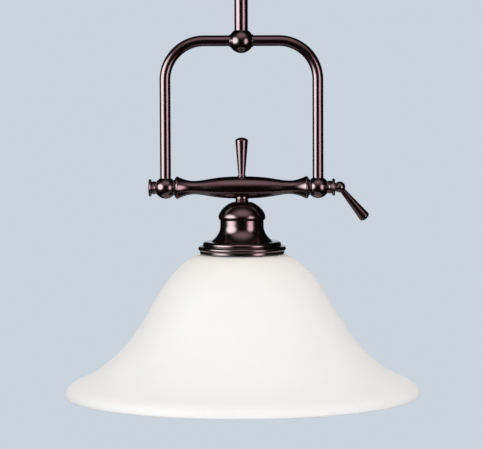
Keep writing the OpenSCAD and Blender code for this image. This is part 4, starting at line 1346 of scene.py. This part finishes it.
@dataclass
class Levers:
    """The clamp on the right-hand pivot, with its slanting lever, and the lever on the crossbar."""

    ball_r: float = 5.6
    flat: float = 3.6  # the ball's face, from its middle
    slant: float = 50.5  # degrees down from level
    spigot_r: float = 1.5
    foot_r: float = 2.75
    tip_r: float = 5.5
    length: float = 41.5
    dome: float = 2
    top_seat: float = 10.45
    top_foot: Pair = (4.3, 0.8)  # its radius and height
    top_waist_r: float = 3.55
    top_tip_r: float = 6.4
    top_h: float = 50

    def __post_init__(self) -> None:
        """Works out how far from the ball's middle the lever's foot sits."""
        self.seat = math.sqrt(self.ball_r**2 - self.foot_r**2)

    def build(self) -> None:
        """Builds and dresses both levers."""
        self.make_clamp_ball()
        self.make_clamp_lever()
        self.make_top_lever()

    def seated(self, piece: Workpiece) -> Workpiece:
        """Turns a piece from the frame's Z to the slanting lever's line."""
        return piece.tilt(90 + self.slant, "Y").move((LEVER_X, 0, BAR_Z))

    def tip(self, shape: Outline, radius: float, end: float) -> Outline:
        """Ends a lever's outline with its widest part and a shallow dome."""
        shape.line((radius, end - self.dome - 1))
        return shape.curve((radius, end - self.dome + 0.2), (radius * 0.6, end), (0, end), 18)

    def make_clamp_ball(self) -> None:
        """The clamp's ball: flat against the washer, bored for the stud and for the lever."""
        bore, depth = STUD_R + PLAY, 0.5
        start = -math.degrees(math.asin(self.flat / self.ball_r))
        shape = Outline((0, depth), (bore, depth), (bore, -self.flat)).arc((0, 0), self.ball_r, start, 90, 36)
        ball = Workpiece.turned("clamp_knuckle", shape, Axis.X, (LEVER_X, 0, BAR_Z), ease=0.3)
        ball.cut(self.seated(Workpiece.rod("lever seat", self.foot_r + PLAY, self.seat, REACH)),
                 self.seated(Workpiece.rod("spigot seat", self.spigot_r + PLAY, self.ball_r / 2, REACH)))
        fit(ball.bevel(0.15, sharp=50), "clamp_ball", BRONZE)

    def make_clamp_lever(self) -> None:
        """The slanting lever, thin at its foot and widest near its domed tip."""
        start, seat = 3.1, self.seat
        shape = Outline((0, start), (self.spigot_r, start), (self.spigot_r, seat), (self.foot_r, seat))
        lever = Workpiece.turned("slanting_lever", self.tip(shape, self.tip_r, self.length), ease=0.2)
        fit(self.seated(lever), "clamp_lever", BRONZE)

    def make_top_lever(self) -> None:
        """The upright lever, with a small foot and a stud that goes into the crossbar."""
        start, seat, waist, (foot_r, foot_h) = 4.4, self.top_seat, self.top_waist_r, self.top_foot
        shape = Outline((0, start), (STUD_R, start), (STUD_R, seat), (foot_r, seat), (foot_r, seat + foot_h))
        shape.curve((foot_r - 0.5, seat + foot_h + 0.3), (waist, seat + 1.8), (waist, seat + 2.6), 8)
        shape = self.tip(shape, self.top_tip_r, self.top_h)
        fit(Workpiece.turned("upright_lever", shape, at=AT_BAR, ease=0.2), "top_lever", BRONZE)


@dataclass
class ShadeCarrier:
    """The drop tube with the neck ring, the dome cap and the stepped holder of the glass."""

    neck_end: float = -14.3  # heights are from the crossbar's axis
    holder_top: float = -32.6
    neck_r: float = 6.7
    bead_r: float = 0.7
    dome_r: float = 23.65
    dome_wall: float = 1.2
    drum_r: float = 21.8
    band_r: float = 42.5
    holder_wall: float = 1.5
    nut_across: float = 14

    def build(self) -> None:
        """Builds and dresses the carrier's pieces."""
        self.make_drop_tube()
        self.make_neck_ring()
        self.make_dome()
        self.make_holder()
        hex_nut("holder_hex_nut", self.nut_across, "holder_nut", TUBE_HOLE, ZINC)
        self.make_gasket()

    def make_drop_tube(self) -> None:
        """The threaded tube that hangs from the crossbar."""
        start, end = span("drop_tube")
        tube = Workpiece.threaded("threaded_drop_tube", THREAD_R, start, end, TUBE_PITCH, TUBE_THREAD,
                                  at=AT_BAR)
        tube.cut(Workpiece.rod("bore", TUBE_BORE, start - 1, LEAD_WAY, at=AT_BAR),
                 Workpiece.rod("stud way", STUD_R + PLAY, 4, 9, at=AT_BAR),
                 Workpiece.rod("lead way", LEAD_WAY, 0, 9, Axis.MINUS_X, AT_BAR))
        fit(tube, "drop_tube", BRASS)

    def make_neck_ring(self) -> None:
        """The neck ring: two small beads with a groove between them."""
        bead, edge, foot, top = self.bead_r, self.neck_r - self.bead_r, self.neck_end, -9.15
        shape = Outline((TUBE_HOLE, foot), (edge + 0.4, foot)).arc((edge, foot + 1), bead, -50, 65, 10)
        shape.line((5.9, foot + 1.9)).arc((edge, foot + 2.9), bead, -65, 50, 10)
        shape.line((edge + 0.4, top), (TUBE_HOLE, top))
        fit(Workpiece.turned("beaded_neck_ring", shape, at=AT_BAR, ease=0.12), "neck_ring", BRONZE)

    def make_dome(self) -> None:
        """The spun dome cap, whose lip turns in over the holder."""
        top, foot, brim = self.neck_end, self.holder_top, self.holder_top + 3.6
        shape = Outline((TUBE_HOLE, top), (8.5, top))
        shape.curve((11.5, top - 0.3), (self.dome_r - 1.6, brim + 8.784), (self.dome_r, brim), 30)
        shape.curve((self.dome_r, brim - 1.6), (self.drum_r + 1.4, foot + 0.5), (self.drum_r + 0.4, foot), 12)
        shape = shape.wall(self.dome_wall, (self.drum_r - 1.2, foot))
        fit(Workpiece.turned("dome_cap_spun", shape, at=AT_BAR, ease=0.15, steps=192), "dome_cap", BRONZE)

    def make_holder(self) -> None:
        """The spun holder: a drum, a flare, two stepped rings and a band."""
        top, end, drum, band = self.holder_top, span("shade_holder")[0], self.drum_r, self.band_r
        wall = self.holder_wall
        shape = Outline((TUBE_HOLE, top), (drum, top), (drum, top - 5.4))
        shape.curve((drum, top - 13.4), (26.5, top - 17.4), (31, top - 21.4), 26)
        shape.arc((36.4, top - 24.4), 3, 90, -20, 18).arc((41.85, end + 4.5), 2.3, 110, -70, 22)
        shape.line((band, end + 2.2), (band, end), (band - wall, end), (band - wall, end + 5),
                   (36.5, top - 23.2), (30, top - 22.9))
        shape.curve((25.5, top - 19.5), (drum - wall, top - 14), (drum - wall, top - 5.4), 16)
        shape.line((drum - wall, top - wall), (TUBE_HOLE, top - wall))
        holder = Workpiece.turned("stepped_shade_holder", shape, at=AT_BAR, ease=0.18, steps=192)
        fit(holder, "shade_holder", BRONZE)

    def make_gasket(self) -> None:
        """The soft ring between the holder and the glass."""
        (bottom, top), inner, outer = span("glass_gasket"), 31, 42
        shape = Outline((inner, bottom), (outer, bottom), (outer, top), (inner, top))
        fit(Workpiece.turned("soft_gasket", shape, at=AT_BAR, ease=0.4), "glass_gasket", SILICONE)


@dataclass
class GlassShade:
    """The blown bell of opal glass."""

    wall: float = 3.5
    hole_r: float = 20.6
    flat: Pair = (38, -66.5)  # radii, and heights from the crossbar's axis
    waist: Pair = (85.8, -109.3)
    waist_slope: float = 60  # degrees down from level
    flare: Pair = (165.5, -194.4)
    flare_slope: float = 22.5
    rim: Pair = (178.3, -207.55)

    def build(self) -> None:
        """Builds and dresses the glass: its neck falls steeply, then it spreads to a turned-down rim."""
        flat, waist, flare, rim = map(Vector, (self.flat, self.waist, self.flare, self.rim))
        steep, shallow = (Vector((math.cos(a), -math.sin(a)))
                          for a in map(math.radians, (self.waist_slope, self.flare_slope)))
        shape = Outline((self.hole_r, flat.y), flat)
        shape.curve(flat + Vector((5.5, 0)), waist - 41.5 * steep, waist, 28)
        shape.curve(waist + 30 * steep, flare - 48 * shallow, flare, 44)
        shape.curve(flare + 3 * shallow, rim + Vector((0, 8.5)), rim, 18)
        lip = Outline().arc((rim.x - self.wall / 2, rim.y), self.wall / 2, -15, -165, 12)
        shade = Workpiece.turned("opal_bell_shade", shape.wall(self.wall, *lip.points), at=AT_BAR, ease=1.2,
                                 steps=256)
        fit(shade, "glass_shade", OPAL, sharp=60)


@dataclass
class Socket:
    """The lamp holder inside the glass, and the ring and washer on it that clamp the glass."""

    radius: float = 19
    top: float = -41  # heights are from the crossbar's axis
    end: float = -90
    chamber: Pair = (8, -55)  # its radius and floor
    tube_end: float = -47
    shell: Pair = (13.9, 0.4)  # its radius and thickness
    shell_top: float = -58
    contact: Pair = (5, -60)  # its radius and face
    post_r: float = 1.6
    ring_r: float = 26
    notches: int = 8
    notch_r: float = 1.4

    def __post_init__(self) -> None:
        """Works out the bore of the ring and the washer that go over the body."""
        self.bore = self.radius + PLAY

    def build(self) -> None:
        """Builds and dresses the socket's pieces."""
        self.make_body()
        self.make_shell()
        self.make_contact()
        self.make_fibre_washer()
        self.make_shade_ring()

    def make_body(self) -> None:
        """The moulded body, with the thread that the shade ring runs on."""
        core, top, end = self.radius - 0.7, self.top, self.end
        shape = Outline((0, end), (core, end), (core, top - 24.5), (self.radius, top - 23.8),
                        (self.radius, top - 1.5), (self.radius - 1.5, top), (0, top))
        body = Workpiece.turned("moulded_socket_body", shape, at=AT_BAR, ease=0.4)
        body.add(Workpiece.threaded("thread", self.radius, end + 1, top - 24, 2.5, 0.75, at=AT_BAR,
                                    rounded=True))
        body.cut(
            Workpiece.rod("tube seat", TUBE_HOLE, self.tube_end, top + 1, at=AT_BAR),
            Workpiece.rod("wiring chamber", self.chamber[0], self.chamber[1], self.tube_end + 0.1, at=AT_BAR),
            Workpiece.rod("post hole", self.post_r + PLAY, self.contact[1], -50, at=AT_BAR),
            Workpiece.rod("shell seat", self.shell[0] + PLAY, end - 1, self.shell_top, at=AT_BAR))
        fit(body.bevel(0.2, sharp=60), "socket_body", PHENOLIC)

    def make_shell(self) -> None:
        """The screw shell, rolled from sheet brass."""
        (outer, thick), (start, end), depth, past = self.shell, span("screw_shell"), 0.5, 8
        shell, hollow = (
            Workpiece.threaded(name, radius, start - more, end + more, LAMP_PITCH, depth, at=AT_BAR,
                               rounded=True)
            for name, radius, more in (("rolled_screw_shell", outer, 0), ("hollow", outer - thick, past)))
        fit(shell.cut(hollow), "screw_shell", BRASS, sharp=50)

    def make_contact(self) -> None:
        """The centre contact and its post."""
        (radius, face), post, back, top = self.contact, self.post_r, self.shell_top, -52
        shape = Outline((0, face), (radius - 0.6, face), (radius, face + 0.6), (radius, back), (post, back),
                        (post, top), (0, top))
        fit(Workpiece.turned("centre_contact", shape, at=AT_BAR, ease=0.2, steps=64), "socket_contact", BRASS)

    def make_fibre_washer(self) -> None:
        """The fibre washer that spares the glass."""
        (bottom, top), radius = span("fibre_washer"), self.ring_r
        shape = Outline((self.bore, bottom), (radius, bottom), (radius, top), (self.bore, top))
        fit(Workpiece.turned("fibre_seat_washer", shape, at=AT_BAR, ease=0.1), "fibre_washer", FIBRE)

    def make_shade_ring(self) -> None:
        """The notched ring that holds the glass up."""
        (bottom, top), radius = span("shade_ring"), self.ring_r
        shape = Outline((self.bore, bottom), (radius - 0.8, bottom), (radius, bottom + 0.8), (radius, top),
                        (self.bore, top))
        ring = Workpiece.turned("notched_shade_ring", shape, at=AT_BAR, ease=0.3)
        notch = Workpiece.rod("notch", self.notch_r, bottom - 1, top + 1, at=(radius + 0.6, 0, BAR_Z),
                              sides=32)
        copies = [notch.copy("notch", 360 / self.notches * i) for i in range(1, self.notches)]
        fit(ring.cut(notch, *copies).bevel(0.25, sharp=50), "shade_ring", PHENOLIC)


@dataclass
class Bulb:
    """The lamp: a frosted envelope on a rolled screw base."""

    radius: float = 30
    end: float = -170  # heights are from the crossbar's axis
    neck_r: float = 12.9
    wall: float = 1
    base_r: float = 13.1
    base_top: float = -62.9
    base_end: float = -86.9
    cone_top: float = -60.9
    thread: float = 0.5  # its depth

    def build(self) -> None:
        """Builds and dresses the lamp's pieces."""
        self.make_glass()
        self.make_base()
        self.make_insulator()

    def make_glass(self) -> None:
        """The blown envelope."""
        belly = self.end + self.radius
        shape = Outline((self.neck_r, self.base_end))
        shape.curve((self.neck_r, self.base_end - 16), (self.radius, belly + 20), (self.radius, belly), 24)
        shape.arc((0, belly), self.radius, -4, -90, 28)
        glass = Workpiece.turned("frosted_envelope", shape, at=AT_BAR)
        glass.modify("SOLIDIFY", thickness=self.wall * MM, offset=-1)
        fit(glass, "bulb_glass", FROSTED_LAMP, sharp=60)

    def make_base(self) -> None:
        """The screw base: a collar, a rolled thread and a shoulder."""
        radius, top, end, depth = self.base_r, self.base_top, self.base_end, self.thread
        core, sheet = radius - depth, 0.5
        shape = Outline((0, top), (11.4, top), (core, top - 1.7), (core, end + 2.3), (radius, end + 1.8),
                        (radius, end), (0, end))
        base = Workpiece.turned("screw_base", shape, at=AT_BAR, ease=0.3)
        base.add(Workpiece.threaded("thread", radius, end + 2.9, top - 3.1, LAMP_PITCH, depth + 0.05,
                                    at=AT_BAR, rounded=True))
        base.cut(Workpiece.rod("hollow", core - sheet, end - 1.1, top - sheet, at=AT_BAR))
        fit(base, "bulb_base", LAMP_CAP, sharp=50)

    def make_insulator(self) -> None:
        """The black glass cone and the contact in its middle."""
        bottom, top = self.base_top, self.cone_top
        shape = Outline((0, bottom), (11.6, bottom)).curve((10.6, bottom + 1.3), (7.2, top), (5.2, top), 10)
        cone = Workpiece.turned("black_insulator", shape.line((0, top)), at=AT_BAR)
        fit(cone, "bulb_insulator", BLACK_GLASS)
        shape = Outline((0, top), (4.8, top)).curve((4.8, top + 0.5), (3.6, top + 0.9), (0, top + 0.9), 10)
        fit(Workpiece.turned("end_contact", shape, at=AT_BAR, steps=64), "bulb_contact", LAMP_CAP)


# ---- Studio ------------------------------------------------------------------------------


@dataclass(frozen=True)
class Softbox:
    """A soft light that faces the object: bright for gloss, and at a plain level for pale surfaces."""

    name: str
    azimuth: float  # degrees to the right of the camera
    elevation: float
    size: Pair
    gloss: float  # the radiance that gloss mirrors
    fill: float  # the radiance that lights pale surfaces
    tint: str
    distance: float = 2.2
    core: float = 0.4  # the share of its width that is at full brightness

    def place(self, middle: Vector) -> None:
        """Sets the light up.

        Args:
            middle: What it faces, in metres.
        """
        width, height = self.size
        turn, rise = math.radians(self.azimuth), math.radians(self.elevation)
        away = Vector((math.sin(turn) * math.cos(rise), -math.cos(turn) * math.cos(rise), math.sin(rise)))
        for use, radiance in (("gloss", self.gloss), ("fill", self.fill)):
            if not radiance:
                continue
            bpy.ops.object.light_add(type="AREA", location=middle + away * self.distance)
            lamp = bpy.context.object
            lamp.name = lamp.data.name = f"{self.name}_{use}"
            lamp.rotation_euler = away.to_track_quat("Z", "Y").to_euler()
            lamp.data.shape = "ELLIPSE"
            lamp.data.size, lamp.data.size_y = width, height
            area = math.pi / 4 * width * height
            lamp.data.energy = radiance * math.pi * area
            lamp.data.color = colour(self.tint)[:3]
            lamp.visible_camera = False
            lamp.visible_glossy = use == "gloss"
            lamp.visible_diffuse = use == "fill"
            self.soften(lamp.data)

    def soften(self, lamp: bpy.types.Light) -> None:
        """Lets the light fall off towards its rim, as a diffuser's cloth does.

        Args:
            lamp: The light.
        """
        lamp.use_nodes = True
        tree = lamp.node_tree
        tree.nodes.clear()
        place = add_node(tree, "NewGeometry").outputs["Parametric"]
        out = add_node(tree, "VectorMath", {0: place, 1: (0.5, 0.5, 0)},
                       operation="DISTANCE").outputs["Value"]
        share = add_node(tree, "MapRange", {"Value": out, "From Min": 0.5, "From Max": self.core / 2},
                         interpolation_type="SMOOTHSTEP").outputs["Result"]
        glow = add_node(tree, "Emission", {"Strength": share})
        add_node(tree, "OutputLight", {"Surface": glow.outputs["Emission"]})


@dataclass
class Studio:
    """The camera, the lights, the floor and the backdrop."""

    lights: tuple[Softbox, ...] = (
        Softbox("left_softbox", -60, 9, (1.35, 1.1), 15.5, 0, "EFFEFF", distance=0.95),
        Softbox("right_softbox", 45, 3, (0.7, 1.0), 10.0, 0, "FFF3FF", distance=0.95),
        Softbox("top_softbox", 0, 54, (5.6, 3.6), 2.3, 1.8, "FFECF1", core=0.0),
        Softbox("front_fill", -4, 26, (2.4, 2.4), 0, 1.85, "FFFEFC"))
    backdrop: str = "CBD3DC"
    paper: str = "CED6DF"
    dark: str = "0D0A0B"
    ambient: str = "D9DADB"
    horizon: float = 0.94  # how squarely a mirrored ray has to point back to meet the backdrop
    floor_z: float = -1.6
    floor_r: float = 1.6
    floor_fade: Pair = (0.45, 0.98)  # the shares of its radius between which it fades away
    floor_grain_mm: float = 240
    camera_at: Triple = (-0.0005, -2.7, -0.37309)
    pitch: float = 4.0
    roll: float = 0.24
    lens: float = 201.24
    sensor: float = 36
    clip_end: float = 50

    def build(self) -> None:
        """Sets everything up."""
        self.place_camera()
        for light in self.lights:
            light.place(Vector((0, 0, BAR_Z * MM)))
        self.make_world()
        self.lay_floor()
        bpy.context.scene.view_settings.view_transform = "Standard"

    def place_camera(self) -> None:
        """The camera, where the photograph was taken from."""
        bpy.ops.object.camera_add(location=self.camera_at)
        camera = bpy.context.object
        camera.name = "camera"
        turn = Matrix.Rotation(math.radians(90 - self.pitch), 3, "X") @ Matrix.Rotation(
            math.radians(-self.roll), 3, "Z")
        camera.rotation_euler = turn.to_euler()
        camera.data.lens, camera.data.sensor_width = self.lens, self.sensor
        camera.data.clip_end = self.clip_end
        bpy.context.scene.camera = camera

    def make_world(self) -> None:
        """The plain pale backdrop, and the dim room that the lacquer mirrors in front of it."""
        world = bpy.data.worlds.new("studio")
        bpy.context.scene.world = world
        world.use_nodes = True
        tree = world.node_tree
        tree.nodes.clear()
        place = add_node(tree, "TexCoord").outputs["Generated"]
        behind = add_node(tree, "SeparateXYZ", {"Vector": place}).outputs["Y"]
        seen = add_node(tree, "MapRange", {"Value": behind, "From Min": self.horizon, "From Max": 1.0},
                        interpolation_type="SMOOTHSTEP").outputs["Result"]
        rays = add_node(tree, "LightPath").outputs
        mirrored = add_node(tree, "Mix", {"Factor": seen, MIX_A: colour(self.dark),
                                          MIX_B: colour(self.backdrop)},
                            data_type="RGBA").outputs[MIX_OUT]
        lit = add_node(tree, "Mix", {"Factor": rays["Is Glossy Ray"], MIX_A: colour(self.ambient),
                                     MIX_B: mirrored},
                       data_type="RGBA").outputs[MIX_OUT]
        plain = add_node(tree, "Math", {0: rays["Is Camera Ray"], 1: rays["Is Transmission Ray"]},
                         operation="MAXIMUM").outputs["Value"]
        shown = add_node(tree, "Mix", {"Factor": plain, MIX_A: lit, MIX_B: colour(self.backdrop)},
                         data_type="RGBA").outputs[MIX_OUT]
        light = add_node(tree, "Background", {"Color": shown, "Strength": 1.0})
        add_node(tree, "OutputWorld", {"Surface": light.outputs["Background"]})

    def lay_floor(self) -> None:
        """A round pale floor that fades into the backdrop, and that a view from below sees through."""
        bpy.ops.object.select_all(action="DESELECT")
        bpy.ops.mesh.primitive_circle_add(vertices=96, radius=self.floor_r, fill_type="NGON",
                                          location=(0, 0, self.floor_z))
        floor = bpy.context.object
        floor.name = "studio_floor"
        made = bpy.data.materials.new("pale_paper")
        made.use_nodes = True
        tree = made.node_tree
        tree.nodes.clear()
        place = add_node(tree, "TexCoord").outputs["Object"]
        grain = add_node(tree, "TexNoise", {"Vector": place, "Scale": per_mm(self.floor_grain_mm),
                                            "Detail": 4})
        share = add_node(tree, "MapRange", {"Value": grain.outputs["Fac"], "From Min": NOISE[0],
                                            "From Max": NOISE[1]}).outputs["Result"]
        tint = add_node(tree, "Mix", {"Factor": share, MIX_A: colour(self.backdrop),
                                      MIX_B: colour(self.paper)}, data_type="RGBA").outputs[MIX_OUT]
        paper = add_node(tree, "BsdfPrincipled", {"Base Color": tint, "Roughness": 0.85})
        away = add_node(tree, "VectorMath", {0: place}, operation="LENGTH").outputs["Value"]
        start, end = (self.floor_r * part for part in self.floor_fade)
        fade = add_node(tree, "MapRange", {"Value": away, "From Min": start, "From Max": end},
                        interpolation_type="SMOOTHSTEP").outputs["Result"]
        under = add_node(tree, "NewGeometry").outputs["Backfacing"]
        clear = add_node(tree, "Math", {0: fade, 1: under}, operation="MAXIMUM").outputs["Value"]
        mirrored = add_node(tree, "LightPath").outputs["Is Glossy Ray"]
        clear = add_node(tree, "Math", {0: clear, 1: mirrored}, operation="MAXIMUM").outputs["Value"]
        mixed = add_node(tree, "MixShader", {0: clear, 1: paper.outputs["BSDF"],
                                             2: add_node(tree, "BsdfTransparent").outputs["BSDF"]})
        add_node(tree, "OutputMaterial", {"Surface": mixed.outputs["Shader"]})
        floor.data.materials.append(made)


def main() -> None:
    """Builds the whole pendant and its studio."""
    logging.basicConfig(level=logging.INFO, format="%(name)s %(relativeCreated)6d ms: %(message)s")
    for assembly in (CeilingMount(), Swivel(), Yoke(), Crossbar(), Levers(), ShadeCarrier(), GlassShade(),
                     Socket(), Bulb()):
        assembly.build()
    Studio().build()


if __name__ == "__main__":
    main()
